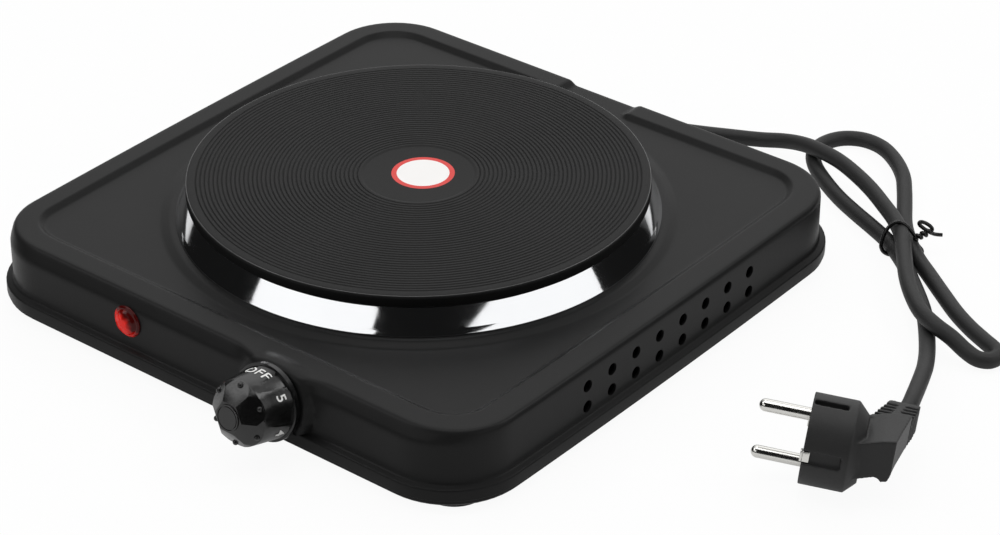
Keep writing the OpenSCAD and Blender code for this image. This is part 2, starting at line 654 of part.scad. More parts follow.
strand_z = cord_d / 2 + 0.05;
cord_route = [[-outlet_x, cord_end_y, outlet_z], [-outlet_x, 109, outlet_z], [-outlet_x, 122, outlet_z],
    [-outlet_x, 130, outlet_z], [-29.8, 136.5, 14.6], [-28.5, 141.5, 10.2], [-25, 146, 6.2], [-18.5, 149, 4],
    [-9, 151, strand_z], [0, 153, strand_z], [9, 155.6, strand_z], [21, 160.4, strand_z], [34, 166.6, strand_z], [47, 171.8, 4], [58, 173.6, 6.4],
    [68, 172.4, 9], [77.8, 170.6, 10.3], [89.7, 168.2, 10.3], [101.7, 163.2, 10.2], [113.5, 156.9, 10],
    [124.8, 149.4, 9.8], [135, 142, 9.7], [143.8, 133.3, 9.7], [152.5, 121.4, 10], [162.1, 108.1, 10.4],
    [171.3, 97.5, 10.5], [181.4, 88.5, 10.4], [190.6, 84.2, 9.9], [198.8, 83.2, 8], [206, 82.2, 5.4],
    [211.5, 82.2, 3.9], [215.5, 84.8, strand_z], [216.3, 89.2, strand_z], [213, 92.6, strand_z],
    [206.5, 95.6, strand_z], [197.5, 99.9, strand_z], [187, 106.2, strand_z], [175, 115, strand_z],
    [163.3, 123.8, strand_z], [154.8, 130.1, strand_z], [148.3, 135.9, strand_z], [141.3, 142.9, strand_z],
    [133.6, 152.2, strand_z], [126, 164, strand_z], [119.5, 174, strand_z], [112, 184.5, strand_z],
    [102.5, 193.5, strand_z], [92, 199.8, strand_z], [82, 200.8, strand_z], [74, 196.4, strand_z],
    [70, 188, strand_z], [71, 178, strand_z], [78, 168.6, strand_z], [89, 160, strand_z],
    [101, 152.4, strand_z], [113, 146.4, strand_z], [124.5, 141.2, strand_z], [134.8, 136.2, strand_z],
    [143, 130.8, strand_z], [152, 123.6, strand_z], [161, 115, strand_z], [171.5, 104.5, strand_z],
    [179, 96, strand_z], [186.4, 85.8, strand_z], [195, 72.2, 5.3], [201.6, 60.2, 7.8],
    [206, 50.7, 9.8], [209.4, 42.5, 11], [212.4, 35, 12], [214.9, 28.4, 12.6], [216.6, 22.5, 12.6],
    [218.2, 17.6, 12.4]];

module power_cord() color([0.045, 0.045, 0.045]) in_body() tube(cord_route, cord_d / 2, 10);

// The tie's plane stands across the strands and leans back: u runs level across them, z runs up
tie_at = [143.5, 132.5];
tie_across = [0.714, 0.7];
tie_lean = 0.36;
tie_wire_r = 0.7;
function tie_point(u, z) = [tie_at[0] + u * tie_across[0] - tie_lean * z * tie_across[1],
    tie_at[1] + u * tie_across[1] + tie_lean * z * tie_across[0], z];
tie_route = [tie_point(7.4, 7.6), tie_point(9.3, 5.4), tie_point(10.2, 2.6), tie_point(8.4, 0.8),
    tie_point(3, 0.75), tie_point(-3, 0.9), tie_point(-6, 2.2), tie_point(-7.2, 4.3), tie_point(-6.8, 6.6),
    tie_point(-5.9, 9), tie_point(-4.2, 11.6), tie_point(-1.8, 13.5), tie_point(0.8, 13.9), tie_point(3, 12.8),
    tie_point(5, 10.9), tie_point(7, 9.3), tie_point(9.8, 9.4), tie_point(12.6, 9.7), tie_point(13.4, 10.8),
    tie_point(11.2, 12.4), tie_point(8.8, 12.9), tie_point(8.6, 11.7), tie_point(11, 9.9) + [0.8, -0.8, 1.2],
    tie_point(14.4, 8.3) + [0.5, -0.5, 0.4], tie_point(18, 7.6)];

module twist_tie() color([0.04, 0.04, 0.04]) in_body() tube(curve(tie_route, 2), tie_wire_r, 8);

// Local +X runs from the plug's front face to its back, +Y to the cord and +Z across the pins
plug_at = [201.1, -20.4, 17.6];
plug_turn = [-9, 6, 27];
module at_plug() translate(plug_at) rotate(plug_turn) children();

// Local +Z runs from point a towards point b
module toward(a, b) translate(a) rotate([0, acos((b - a)[2] / norm(b - a)), atan2((b - a)[1], (b - a)[0])])
    children();

chamfer_len = 4.4;
// The handle in plan: distance behind the front face against distance towards the cord
handle_plan = [[8, -13], [32.2, -13], [33.3, -5], [34.6, 3], [36.1, 12], [40, 12], [40, 13], [8, 13]];
// Its section across: distance behind the front face against height
grip_section = [[plug_len - 4, -9.5], [19.1, -6.7], [26.5, -4], [28, -4.4], [29.1, -5.5], [31.4, -4.8],
    [32.4, -1.6], [39, -1], [39, 11.6], [31, 11.4], [27.3, 10.7], [19.4, 8.1], [plug_len - 4, 5.6]];
relief_span = [9, 28.5];
relief_plan = [[20.7, relief_span[0]], [26.9, relief_span[1]], [38.6, relief_span[1]], [37.6, 20],
    [35.6, relief_span[0]]];
relief_side = [[relief_span[0], 9.4], [relief_span[1], 8.4], [relief_span[1], -2.6], [relief_span[0], -1.4]];
relief_axis = [[28.6, relief_span[0], 3.8], [32.8, relief_span[1], 2.9]];
groove_from = 12;
groove_pitch = 2.9;
groove_w = 1.5;

// Something drawn in plan, or seen from the back, and given a length across
module in_plan(low, high) translate([0, 0, low]) linear_extrude(high - low) children();
module from_back(near, far) translate([near, 0, 0]) rotate([90, 0, 90]) linear_extrude(far - near) children();

module relief_grooves() for (i = [0 : 4]) let (y = groove_from + i * groove_pitch, t = (y - relief_span[0]) / 19.5,
    at = relief_axis[0] + t * (relief_axis[1] - relief_axis[0])) translate([at[0], y, at[2]]) difference() {
    translate([-15, 0, -15]) cube([30, groove_w, 30]);
    translate([-6.2 + t * 1.5, -1, -4.3]) cube([12.4 - 3 * t, 5, 8.6]);
    translate([-1.4, -1, -16]) cube([2.8, 5, 32]);
}

module plug_handle() {
    intersection() {
        rotate([90, 0, 0]) translate([0, 0, -12]) linear_extrude(25) polygon(grip_section);
        in_plan(-20, 20) polygon(handle_plan);
    }
    difference() {
        intersection() {
            in_plan(-20, 20) polygon(relief_plan);
            from_back(0, 60) polygon(relief_side);
        }
        relief_grooves();
    }
}

module plug_body() color([0.055, 0.055, 0.055]) in_body() at_plug() difference() {
    union() {
        rotate([0, 90, 0]) cylinder(r = plug_r, h = plug_len);
        translate([plug_len, 0, 0]) rotate([0, 90, 0]) cylinder(r1 = plug_r, r2 = plug_r - chamfer_len, h = chamfer_len);
        plug_handle();
    }
    for (z = [-1, 1]) translate([-1, 0, z * pin_gap / 2]) rotate([0, 90, 0]) cylinder(r = pin_r + 0.02, h = 9);
    for (y = [-1, 1]) box([15, 3.4, 5], [6.5, y * plug_r, 0]);
    toward(relief_axis[0], relief_axis[1]) translate([0, 0, 16]) cylinder(r = cord_d / 2 + 0.2, h = 6);
}

module plug_pins() color([0.85, 0.85, 0.86]) in_body() at_plug() for (z = [-1, 1])
    translate([0, 0, z * pin_gap / 2]) {
        translate([pin_r - pin_len, 0, 0]) rotate([0, 90, 0]) cylinder(r = pin_r, h = pin_len - pin_r + 8);
        translate([pin_r - pin_len, 0, 0]) sphere(r = pin_r);
    }

module plug_clips() color([0.82, 0.8, 0.74]) in_body() at_plug() for (y = [-1, 1]) {
    box([12.5, 0.8, 4.2], [6.3, y * (plug_r - 1.2), 0]);
    box([0.8, 2.6, 4.2], [-0.45, y * (plug_r - 2.1), 0]);
}

housing();
base_cover();
rubber_foot(-1, -1);  // foot_front_left
rubber_foot(1, -1);  // foot_front_right
rubber_foot(-1, 1);  // foot_back_left
rubber_foot(1, 1);  // foot_back_right
base_screws();
hot_plate();
heating_coils();
coil_cement();
plate_cover();
spill_ring();
centre_label();
centre_stud();
clamp_bridge();
bridge_screws();
stud_washer();
stud_nut();
heat_reflector();
thermal_fuse();
control_frame();
control_bush();
control_screws();
control_ceramics();
control_rivet();
bimetal_blade();
contact_blades();
control_tabs();
control_shaft();
control_cam();
knob();
knob_spring();
lamp_lens();
lamp_holder();
lamp_clip();
neon_bulb();
lamp_resistor();
cord_bush();
cord_clamp();
clamp_screws();
terminal_block();
terminal_screws();
terminal_bracket();
earth_screw();
earth_tag();
live_wire();
neutral_wire();
earth_wire();
lamp_wire();
power_cord();
twist_tie();
plug_body();
plug_pins();
plug_clips();
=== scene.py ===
"""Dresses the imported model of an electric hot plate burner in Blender.

The CAD frame gives every piece its size and place. This script models the pieces that need
softer or finer shapes than the CAD solids have, gives every piece its finish, and sets up the
white studio with its lights and camera.
"""

from __future__ import annotations

import json
import logging
import math
from collections.abc import Callable, Sequence
from dataclasses import dataclass, field
from enum import Enum

import bmesh
import bpy
from mathutils import Euler, Matrix, Vector
from mathutils.bvhtree import BVHTree

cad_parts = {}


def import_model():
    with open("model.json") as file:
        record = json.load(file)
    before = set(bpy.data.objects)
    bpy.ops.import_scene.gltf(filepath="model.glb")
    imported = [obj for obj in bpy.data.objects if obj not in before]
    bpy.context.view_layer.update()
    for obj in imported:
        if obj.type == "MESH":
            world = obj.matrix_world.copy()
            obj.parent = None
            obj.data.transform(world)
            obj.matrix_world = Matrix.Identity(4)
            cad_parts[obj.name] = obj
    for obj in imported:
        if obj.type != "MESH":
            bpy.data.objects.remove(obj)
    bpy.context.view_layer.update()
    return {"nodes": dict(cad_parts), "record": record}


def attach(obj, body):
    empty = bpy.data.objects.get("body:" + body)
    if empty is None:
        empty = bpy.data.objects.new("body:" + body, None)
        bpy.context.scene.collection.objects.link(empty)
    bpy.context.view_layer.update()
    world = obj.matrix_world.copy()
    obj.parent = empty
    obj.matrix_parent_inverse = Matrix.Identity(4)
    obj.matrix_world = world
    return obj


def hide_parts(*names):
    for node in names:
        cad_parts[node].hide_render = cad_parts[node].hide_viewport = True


LOG = logging.getLogger("hot_plate_burner")
# One millimetre in metres
MM = 0.001
# How far the body's middle stands behind the frame's origin, in millimetres
BODY_Y = 10.996389927598827
Point = tuple[float, float, float]
Pair = tuple[float, float]
Ring = list[Vector]
Piece = bpy.types.Object
Tree = bpy.types.NodeTree
Socket = bpy.types.NodeSocket


# ---- Colour and shader nodes ----


def linear(hex_colour: str) -> tuple[float, float, float, float]:
    """Turns an sRGB hex colour into the linear colour that shaders use.

    Args:
        hex_colour: Six hex digits after a hash sign.

    Returns:
        Red, green and blue from 0 to 1, and an alpha of 1.
    """
    parts = [int(hex_colour[i : i + 2], 16) / 255 for i in (1, 3, 5)]
    low = [c / 12.92 if c <= 0.04045 else ((c + 0.055) / 1.055) ** 2.4 for c in parts]
    return low[0], low[1], low[2], 1.0


def add_node(tree: Tree, kind: str, inputs: dict | None = None, **settings: object) -> bpy.types.Node:
    """Adds a node with its settings, its values and its links.

    Args:
        tree: The node tree that the node goes into.
        kind: The node's type name.
        inputs: For each input's name or number, a value or the output that feeds it.
        **settings: The node's own properties.

    Returns:
        The new node.
    """
    made = tree.nodes.new(kind)
    for name, value in settings.items():
        setattr(made, name, value)
    for key, value in (inputs or {}).items():
        if isinstance(value, Socket):
            tree.links.new(value, made.inputs[key])
        else:
            made.inputs[key].default_value = value
    return made


def maths(tree: Tree, operation: str, *values: object) -> Socket:
    """Adds a maths node, and returns its output."""
    return add_node(tree, "ShaderNodeMath", dict(enumerate(values)), operation=operation).outputs[0]


def vector_maths(tree: Tree, operation: str, *values: object) -> Socket:
    """Adds a vector maths node, and returns its output: a number for a length or a dot product."""
    made = add_node(tree, "ShaderNodeVectorMath", dict(enumerate(values)), operation=operation)
    return made.outputs["Value" if operation in ("LENGTH", "DOT_PRODUCT") else "Vector"]


def measured(tree: Tree, where: Socket, centre: Point, keep: Point = (1.0, 1.0, 0.0)) -> Socket:
    """Measures places from a centre in millimetres, and flattens the axes that aren't kept."""
    moved = vector_maths(tree, "ADD", where, Vector(centre) * -MM)
    return vector_maths(tree, "MULTIPLY", moved, keep)


def mapped(tree: Tree, value: Socket, start: Pair, end: Pair = (0.0, 1.0), kind: str = "LINEAR") -> Socket:
    """Maps a value from one range to another, and holds it at the ends."""
    limits = {"Value": value, "From Min": start[0], "From Max": start[1], "To Min": end[0], "To Max": end[1]}
    return add_node(tree, "ShaderNodeMapRange", limits, interpolation_type=kind).outputs["Result"]


def mixed(tree: Tree, share: Socket, first: object, second: object) -> Socket:
    """Mixes two colours by a share from 0 to 1."""
    return add_node(tree, "ShaderNodeMix", {"Factor": share, 6: first, 7: second}, data_type="RGBA").outputs[2]


def noise(tree: Tree, where: Socket, size_mm: float, detail: float, roughness: float) -> Socket:
    """A noise from 0 to 1 whose grain has a real size."""
    inputs = {"Vector": where, "Scale": 1 / (size_mm * MM), "Detail": detail, "Roughness": roughness}
    return add_node(tree, "ShaderNodeTexNoise", inputs).outputs["Fac"]


def clear_tree(owner: bpy.types.Material | bpy.types.World) -> Tree:
    """Gives a material or a world an empty node tree, and returns the tree.

    Args:
        owner: The material or the world.

    Returns:
        Its empty tree.
    """
    owner.use_nodes = True
    owner.node_tree.nodes.clear()
    return owner.node_tree


@dataclass(frozen=True)
class Finish:
    """A finish whose grain, shade and gloss vary a little over the surface.

    The grain is a noise in Object coordinates, so that it keeps its real size on every piece.
    """

    name: str
    dark: str
    light: str
    grain_mm: float
    rough: Pair
    relief_mm: float = 0.0
    metallic: float = 0.0
    patch_mm: float = 30.0
    gloss: float = 0.5
    clear: float = 0.0

    def colour(self, tree: Tree, where: Socket) -> Socket:
        """The base colour's output: two shades in soft patches."""
        return mixed(tree, noise(tree, where, self.patch_mm, 4.0, 0.6), linear(self.dark), linear(self.light))

    def relief(self, tree: Tree, where: Socket) -> Socket:
        """The surface's height, from 0 to 1, for its bump."""
        return noise(tree, where, self.grain_mm, 3.0, 0.55)

    def build(self) -> bpy.types.Material:
        """Makes the node material.

        Returns:
            The material, named for the finish.
        """
        material = bpy.data.materials.new(self.name)
        tree = clear_tree(material)
        where = add_node(tree, "ShaderNodeTexCoord").outputs["Object"]
        height = self.relief(tree, where)
        shader = add_node(
            tree,
            "ShaderNodeBsdfPrincipled",
            {
                "Base Color": self.colour(tree, where),
                "Roughness": mapped(tree, height, (0.3, 0.7), self.rough),
                "Metallic": self.metallic,
                "Specular IOR Level": self.gloss,
                "Transmission Weight": self.clear,
            },
        )
        if self.relief_mm:
            inputs = {"Height": height, "Distance": self.relief_mm * MM, "Strength": 1.0}
            bump = add_node(tree, "ShaderNodeBump", inputs)
            tree.links.new(bump.outputs["Normal"], shader.inputs["Normal"])
        self.extra(tree, shader)
        add_node(tree, "ShaderNodeOutputMaterial", {"Surface": shader.outputs["BSDF"]})
        return material

    def extra(self, tree: Tree, shader: bpy.types.Node) -> None:
        """A place for a finish to add to its shader."""


@dataclass(frozen=True)
class TurnedIron(Finish):
    """Cast iron under a matt black heat coating, turned in fine rings round the plate's middle, with painted shade on
    the plate's side.
    """

    ring_mm: float = 0.5
    top_mm: float = 46.8
    # Painted shade on the plate's side, below its top edge
    side: str = "#0d0d0d"

    def colour(self, tree: Tree, where: Socket) -> Socket:
        """The coating, with painted shade on the plate's side: blacker below its top edge.

        Args:
            tree: The material's node tree.
            where: The place, in Object coordinates.

        Returns:
            The colour's output.
        """
        coating = super(TurnedIron, self).colour(tree, where)
        height = add_node(tree, "ShaderNodeSeparateXYZ", {"Vector": where}).outputs["Z"]
        high = mapped(tree, height, ((self.top_mm - 1.6) * MM, (self.top_mm - 0.7) * MM))
        return mixed(tree, high, linear(self.side), coating)

    def relief(self, tree: Tree, where: Socket) -> Socket:
        """Fine tool marks round the plate's middle, over the coating's own grain.

        Args:
            tree: The material's node tree.
            where: The place, in Object coordinates.

        Returns:
            The height's output.
        """
        radius = vector_maths(tree, "LENGTH", measured(tree, where, (0.0, BODY_Y, 0.0)))
        marks = maths(tree, "SINE", maths(tree, "MULTIPLY", radius, 2 * math.pi / (self.ring_mm * MM)))
        return maths(tree, "MULTIPLY_ADD", marks, 0.12, super(TurnedIron, self).relief(tree, where))


@dataclass(frozen=True)
class RingedDisc(Finish):
    """A printed disc: white, with a coloured ring near its edge."""

    centre: Point = (0.0, 0.0, 0.0)
    ring: Pair = (1.0, 2.0)
    tint: str = "#d8281f"

    def colour(self, tree: Tree, where: Socket) -> Socket:
        """White paper with the ring printed on it.

        Args:
            tree: The material's node tree.
            where: The place, in Object coordinates.

        Returns:
            The colour's output.
        """
        radius = vector_maths(tree, "LENGTH", measured(tree, where, self.centre))
        outside = maths(tree, "GREATER_THAN", radius, self.ring[0] * MM)
        inside = maths(tree, "LESS_THAN", radius, self.ring[1] * MM)
        both = maths(tree, "MULTIPLY", outside, inside)
        return mixed(tree, both, super(RingedDisc, self).colour(tree, where), linear(self.tint))


@dataclass(frozen=True)
class PaintedLightLens(Finish):
    """A coloured lens with painted light: a painted glow in its bright middle, and painted shade round the rim and
    toward the upper right.
    """

    centre: Point = (0.0, 0.0, 0.0)
    # Painted shade round the rim and toward the upper right, and the strength of the painted glow
    shade: str = "#380504"
    glow: float = 0.32
    reach_mm: Pair = (4.6, 9.8)
    shade_spread_mm: float = 4.5

    def colour(self, tree: Tree, where: Socket) -> Socket:
        """Bright in the middle and low down, with painted shade round the rim and in patches toward the upper right.

        Args:
            tree: The material's node tree.
            where: The place, in Object coordinates.

        Returns:
            The colour's output.
        """
        bright = super(PaintedLightLens, self).colour(tree, where)
        flat = measured(tree, where, self.centre, (1.0, 0.0, 1.0))
        toward = vector_maths(tree, "DOT_PRODUCT", flat, (0.5, 0.0, 0.5))
        far = maths(tree, "ADD", vector_maths(tree, "LENGTH", flat), toward)
        grain = add_node(tree, "ShaderNodeTexNoise", {"Vector": where, "Scale": 420.0, "Detail": 0.0}).outputs["Fac"]
        shade_spread = maths(tree, "MULTIPLY_ADD", grain, self.shade_spread_mm * MM, far)
        reach = (self.reach_mm[0] * MM, self.reach_mm[1] * MM)
        return mixed(tree, mapped(tree, shade_spread, reach, kind="SMOOTHSTEP"), bright, linear(self.shade))

    def extra(self, tree: Tree, shader: bpy.types.Node) -> None:
        """Lets the bright part glow a little: a painted glow, which stands in for light on the lens.

        Args:
            tree: The material's node tree.
            shader: The shader, with its base colour.
        """
        source = shader.inputs["Base Color"].links[0].from_socket
        tree.links.new(source, shader.inputs["Emission Color"])
        shader.inputs["Emission Strength"].default_value = self.glow


class Coat(Enum):
    """The finishes, each with what its making gives the eye."""

    # Powder coat baked on steel: a satin sheen broken up by a fine orange peel
    POWDER_BLACK = Finish("powder_coated_steel", "#1a1a1a", "#1f1f1f", 0.55, (0.33, 0.42), 0.012, gloss=0.1)
    # The same coat on the base, which shows only from below
    BASE_BLACK = Finish("powder_coated_base", "#1b1b1c", "#202021", 0.6, (0.42, 0.52), 0.012)
    # Heat-proof paint on turned cast iron: matt, with faint tool marks, and painted shade on the plate's side
    PLATE_IRON = TurnedIron("painted_cast_iron", "#1c1c1c", "#212121", 0.5, (0.46, 0.58), 0.02, gloss=0.12)
    # The plate's turned corner: a thin lighter, smoother line that is a painted highlight
    PLATE_CORNER = Finish("painted_highlight_iron_corner", "#3c3c3c", "#484848", 1.0, (0.2, 0.28))
    # Chrome-plated, polished steel: a mirror
    CHROME = Finish("polished_chrome", "#dcdddf", "#e4e5e6", 4.0, (0.05, 0.08), metallic=1.0)
    # Phenolic moulding: deep black and glossy
    BAKELITE = Finish("black_phenolic", "#0a0a0a", "#0f0f0f", 1.2, (0.2, 0.27), 0.004, gloss=0.45)
    WHITE_INK = Finish("white_print_ink", "#e2e2e0", "#f0f0ee", 0.3, (0.4, 0.5))
    # Vinyl label, flat and a little glossy
    LABEL = RingedDisc(
        "printed_vinyl_label", "#f2f0ee", "#f8f6f4", 1.0, (0.4, 0.5), centre=(0.8, BODY_Y + 1.7, 0.0), ring=(10.5, 16.0)
    )
    # Red acrylic lens with pressed facets, painted shade and a painted glow
    RED_LENS = PaintedLightLens(
        "red_acrylic", "#be140a", "#d81e12", 1.2, (0.16, 0.24), gloss=0.16, centre=(-41.5, BODY_Y - 123.5, 21.7)
    )
    GLASS = Finish("clear_glass", "#e8c8b0", "#f0d8c4", 3.0, (0.04, 0.08), clear=0.7)
    # Extruded PVC sheath: soft black with a fine drag grain
    PVC = Finish("black_pvc_sheath", "#232323", "#282828", 0.7, (0.48, 0.6), 0.012, gloss=0.3)
    # Moulded PVC of the plug: spark-eroded, slightly matt
    PLUG_PVC = Finish("moulded_black_pvc", "#242424", "#2b2b2b", 0.5, (0.46, 0.58), 0.03, gloss=0.3)
    # Plastic-coated wire: glossier than the cord
    TIE = Finish("coated_tie_wire", "#080808", "#0c0c0c", 1.0, (0.22, 0.3), gloss=0.4)
    RUBBER = Finish("black_rubber", "#121212", "#181818", 0.5, (0.6, 0.75), 0.03, gloss=0.25)
    NICKEL = Finish("nickel_plated_brass", "#c9c8c4", "#d6d5d1", 3.0, (0.14, 0.22), metallic=1.0)
    # Zinc-plated pressings and screws
    ZINC = Finish("zinc_plated_steel", "#a9acae", "#bcbfc1", 2.0, (0.28, 0.42), 0.005, 1.0)
    ALUMINIUM = Finish("mill_aluminium", "#b4b6b8", "#c2c4c6", 3.0, (0.25, 0.36), 0.004, 1.0)
    BRASS = Finish("turned_brass", "#b39a5c", "#c2a96a", 2.0, (0.22, 0.34), 0.004, 1.0)
    # Heat-tinted steel tube of the coils
    COIL = Finish("heat_tinted_steel", "#6c6861", "#7d786f", 2.0, (0.4, 0.55), 0.01, 1.0)
    # Steatite ceramic and heat cement
    CERAMIC = Finish("steatite_ceramic", "#d8d2c4", "#e4dfd2", 0.8, (0.5, 0.65), 0.02)
    # Natural nylon mouldings
    NYLON = Finish("natural_nylon", "#dedbd2", "#e8e5dc", 1.5, (0.35, 0.45), 0.005)
    # Coloured wire sleeves
    BROWN = Finish("brown_wire_sleeve", "#5c3418", "#683c1e", 1.0, (0.35, 0.45), 0.01)
    BLUE = Finish("blue_wire_sleeve", "#1f4a9c", "#2655ab", 1.0, (0.35, 0.45), 0.01)
    GREEN = Finish("green_yellow_wire_sleeve", "#5f9a1c", "#d8c81e", 1.0, (0.35, 0.45), 0.01, patch_mm=4.0)
    WHITE_GLASS = Finish("white_glass_sleeve", "#d6d3ca", "#e2dfd6", 0.8, (0.5, 0.65), 0.03)


class Paints:
    """Makes each finish once and puts it on pieces."""

    def __init__(self) -> None:
        """Starts with no material made."""
        self.made: dict[Coat, bpy.types.Material] = {}

    def of(self, coat: Coat) -> bpy.types.Material:
        """The material of a finish, made when it is first asked for.

        Args:
            coat: The finish.

        Returns:
            Its material.
        """
        if coat not in self.made:
            self.made[coat] = coat.value.build()
        return self.made[coat]

    def put(self, piece: Piece, coat: Coat) -> None:
        """Gives a piece one finish all over."""
        piece.data.materials.clear()
        piece.data.materials.append(self.of(coat))


# ---- Modelling ----


def smoothstep(low: float, high: float, value: float) -> float:
    """A soft step from 0 at low to 1 at high."""
    t = min(1.0, max(0.0, (value - low) / (high - low)))
    return t * t * (3 - 2 * t)


def filleted(points: Sequence[tuple[float, ...]], steps: int = 5) -> list[Pair]:
    """Rounds a profile's corners.

    Args:
        points: The profile's corners, each (x, y) or (x, y, radius).
        steps: How many spans each rounded corner gets.

    Returns:
        The profile's points, in order.
    """
    out: list[Pair] = []
    for i, corner in enumerate(points):
        here = Vector(corner[:2])
        radius = corner[2] if len(corner) > 2 else 0.0
        if not radius or i in (0, len(points) - 1):
            out.append((here.x, here.y))
            continue
        to_last = (Vector(points[i - 1][:2]) - here).normalized()
        to_next = (Vector(points[i + 1][:2]) - here).normalized()
        half = to_last.angle(to_next) / 2
        reach = radius / math.tan(half)
        middle = here + (to_last + to_next).normalized() * (radius / math.sin(half))
        start, end = here + to_last * reach - middle, here + to_next * reach - middle
        sweep = start.angle(end)
        sign = 1 if start.cross(end) > 0 else -1
        for k in range(steps + 1):
            turned = Matrix.Rotation(sign * sweep * k / steps, 2) @ start
            out.append((middle.x + turned.x, middle.y + turned.y))
    return out


def catmull(points: Sequence[Sequence[float]], steps: int) -> list[Vector]:
    """A smooth curve through points.

    Args:
        points: The points that the curve passes through.
        steps: How many spans there are between one point and the next.

    Returns:
        The curve's points.
    """
    p = [Vector(q) for q in points]
    p = [2 * p[0] - p[1], *p, 2 * p[-1] - p[-2]]
    out = []
    for i in range(1, len(p) - 2):
        a, b, c, d = p[i - 1 : i + 3]
        for k in range(steps):
            t = k / steps
            square, cube = (2 * a - 5 * b + 4 * c - d) * t**2, (3 * b - a - 3 * c + d) * t**3
            out.append(0.5 * (2 * b + (c - a) * t + square + cube))
    out.append(p[-2])
    return out


def unit_circle(spans: int) -> list[Pair]:
    """Evenly spaced points on a circle of radius 1."""
    turns = [2 * math.pi * k / spans for k in range(spans)]
    return [(math.cos(turn), math.sin(turn)) for turn in turns]


class Modeller:
    """Models meshes with Blender's own operators, in millimetres."""

    @staticmethod
    def deselect() -> None:
        """Leaves nothing selected."""
        bpy.ops.object.select_all(action="DESELECT")

    @classmethod
    def pick(cls, piece: Piece) -> None:
        """Selects one piece and makes it the active one.

        Args:
            piece: The piece.
        """
        cls.deselect()
        piece.select_set(True)
        bpy.context.view_layer.objects.active = piece

    @classmethod
    def edit(cls, piece: Piece) -> None:
        """Opens one piece in edit mode with all of it selected.

        Args:
            piece: The piece.
        """
        cls.pick(piece)
        bpy.ops.object.mode_set(mode="EDIT")
        bpy.ops.mesh.select_all(action="SELECT")

    @classmethod
    def join(cls, pieces: Sequence[Piece]) -> Piece:
        """Joins pieces into the first of them, and returns it.

        Args:
            pieces: The pieces, one or more.

        Returns:
            The first piece, with the others in it.
        """
        cls.pick(pieces[0])
        for piece in pieces[1:]:
            piece.select_set(True)
        if len(pieces) > 1:
            bpy.ops.object.join()
        return pieces[0]

    @classmethod
    def loft(cls, name: str, rings: Sequence[Ring], close: bool = True, tail: bool = False) -> Piece:
        """Extrudes a circle ring after ring, and sets each new ring in its place.

        Args:
            name: The piece's name.
            rings: The rings' points in millimetres, all of one length.
            close: Whether the two end rings are filled.
            tail: Whether the last ring joins the first one, as in a hollow section.

        Returns:
            The piece, with faces that point outwards.
        """
        cls.deselect()
        count = len(rings[0])
        bpy.ops.mesh.primitive_circle_add(vertices=count, radius=1.0)
        piece = bpy.context.object
        piece.name = name
        piece.data.name = name
        bpy.ops.object.mode_set(mode="EDIT")
        bpy.ops.mesh.select_mode(type="EDGE")
        bpy.ops.mesh.select_all(action="SELECT")
        work = bmesh.from_edit_mesh(piece.data)
        work.verts.ensure_lookup_table()
        last = list(work.verts)
        for vert, point in zip(last, rings[0]):
            vert.co = point * MM
        for ring in rings[1:]:
            bpy.ops.mesh.extrude_edges_move()
            work = bmesh.from_edit_mesh(piece.data)
            fresh = []
            for vert in last:
                fresh.append(next(e.other_vert(vert) for e in vert.link_edges if e.other_vert(vert).select))
            for vert, point in zip(fresh, ring):
                vert.co = point * MM
            last = fresh
        bpy.ops.mesh.select_all(action="SELECT")
        if close or tail:
            bpy.ops.mesh.remove_doubles(threshold=1e-6)
        if close:
            bpy.ops.mesh.select_all(action="DESELECT")
            bpy.ops.mesh.select_non_manifold()
            bpy.ops.mesh.fill_holes(sides=0)
            bpy.ops.mesh.select_all(action="SELECT")
        bpy.ops.mesh.normals_make_consistent(inside=False)
        bpy.ops.object.mode_set(mode="OBJECT")
        bpy.ops.object.shade_smooth()
        return piece

    @classmethod
    def lathe(
        cls, name: str, profile: Sequence[Pair], at: Matrix, spans: int = 128, tail: bool = False
    ) -> Piece:
        """Turns a profile round an axis.

        Args:
            name: The piece's name.
            profile: Radius and height of each point, in millimetres.
            at: The place and direction of the axis, local +Z.
            spans: How many steps go round.
            tail: Whether the profile's last point is its first one.

        Returns:
            The piece.
        """
        circle = unit_circle(spans)
        rings = [[at @ Vector((r * x, r * y, z)) for x, y in circle] for r, z in profile]
        return cls.loft(name, rings, close=not tail, tail=tail)

    @classmethod
    def tube(cls, name: str, path: Sequence[Vector], radius: Callable[[float], float], spans: int = 24) -> Piece:
        """Sweeps a round section along a path.

        Args:
            name: The piece's name.
            path: The middle line's points, in millimetres.
            radius: Gives the section's radius at a distance along the path.
            spans: How many steps go round.

        Returns:
            The piece.
        """
        side = Vector((0.13, 0.21, 0.97))
        circle = unit_circle(spans)
        rings, gone = [], 0.0
        for i, here in enumerate(path):
            ahead = (path[min(i + 1, len(path) - 1)] - path[max(i - 1, 0)]).normalized()
            side = (side - side.dot(ahead) * ahead).normalized()
            across = ahead.cross(side)
            gone += (here - path[i - 1]).length if i else 0.0
            r = radius(gone)
            rings.append([here + r * (x * side + y * across) for x, y in circle])
        return cls.loft(name, rings)

    @classmethod
    def copy_solid(cls, node: Piece, name: str) -> Piece:
        """Copies a CAD solid's mesh into a new piece and merges its loose triangles.

        Args:
            node: The CAD node's object.
            name: The new piece's name.

        Returns:
            The new piece.
        """
        mesh = node.data.copy()
        mesh.transform(node.matrix_world)
        piece = bpy.data.objects.new(name, mesh)
        bpy.context.scene.collection.objects.link(piece)
        cls.edit(piece)
        bpy.ops.mesh.remove_doubles(threshold=2e-6)
        bpy.ops.mesh.dissolve_limited(angle_limit=math.radians(0.5))
        bpy.ops.object.mode_set(mode="OBJECT")
        return piece

    @classmethod
    def finish_with(cls, piece: Piece, kind: str, **settings: object) -> None:
        """Adds a modifier with its settings and applies it.

        Args:
            piece: The piece.
            kind: The modifier's type.
            **settings: The modifier's own properties.
        """
        cls.pick(piece)
        modifier = piece.modifiers.new(kind.title(), kind)
        for name, value in settings.items():
            setattr(modifier, name, value)
        bpy.ops.object.modifier_apply(modifier=modifier.name)

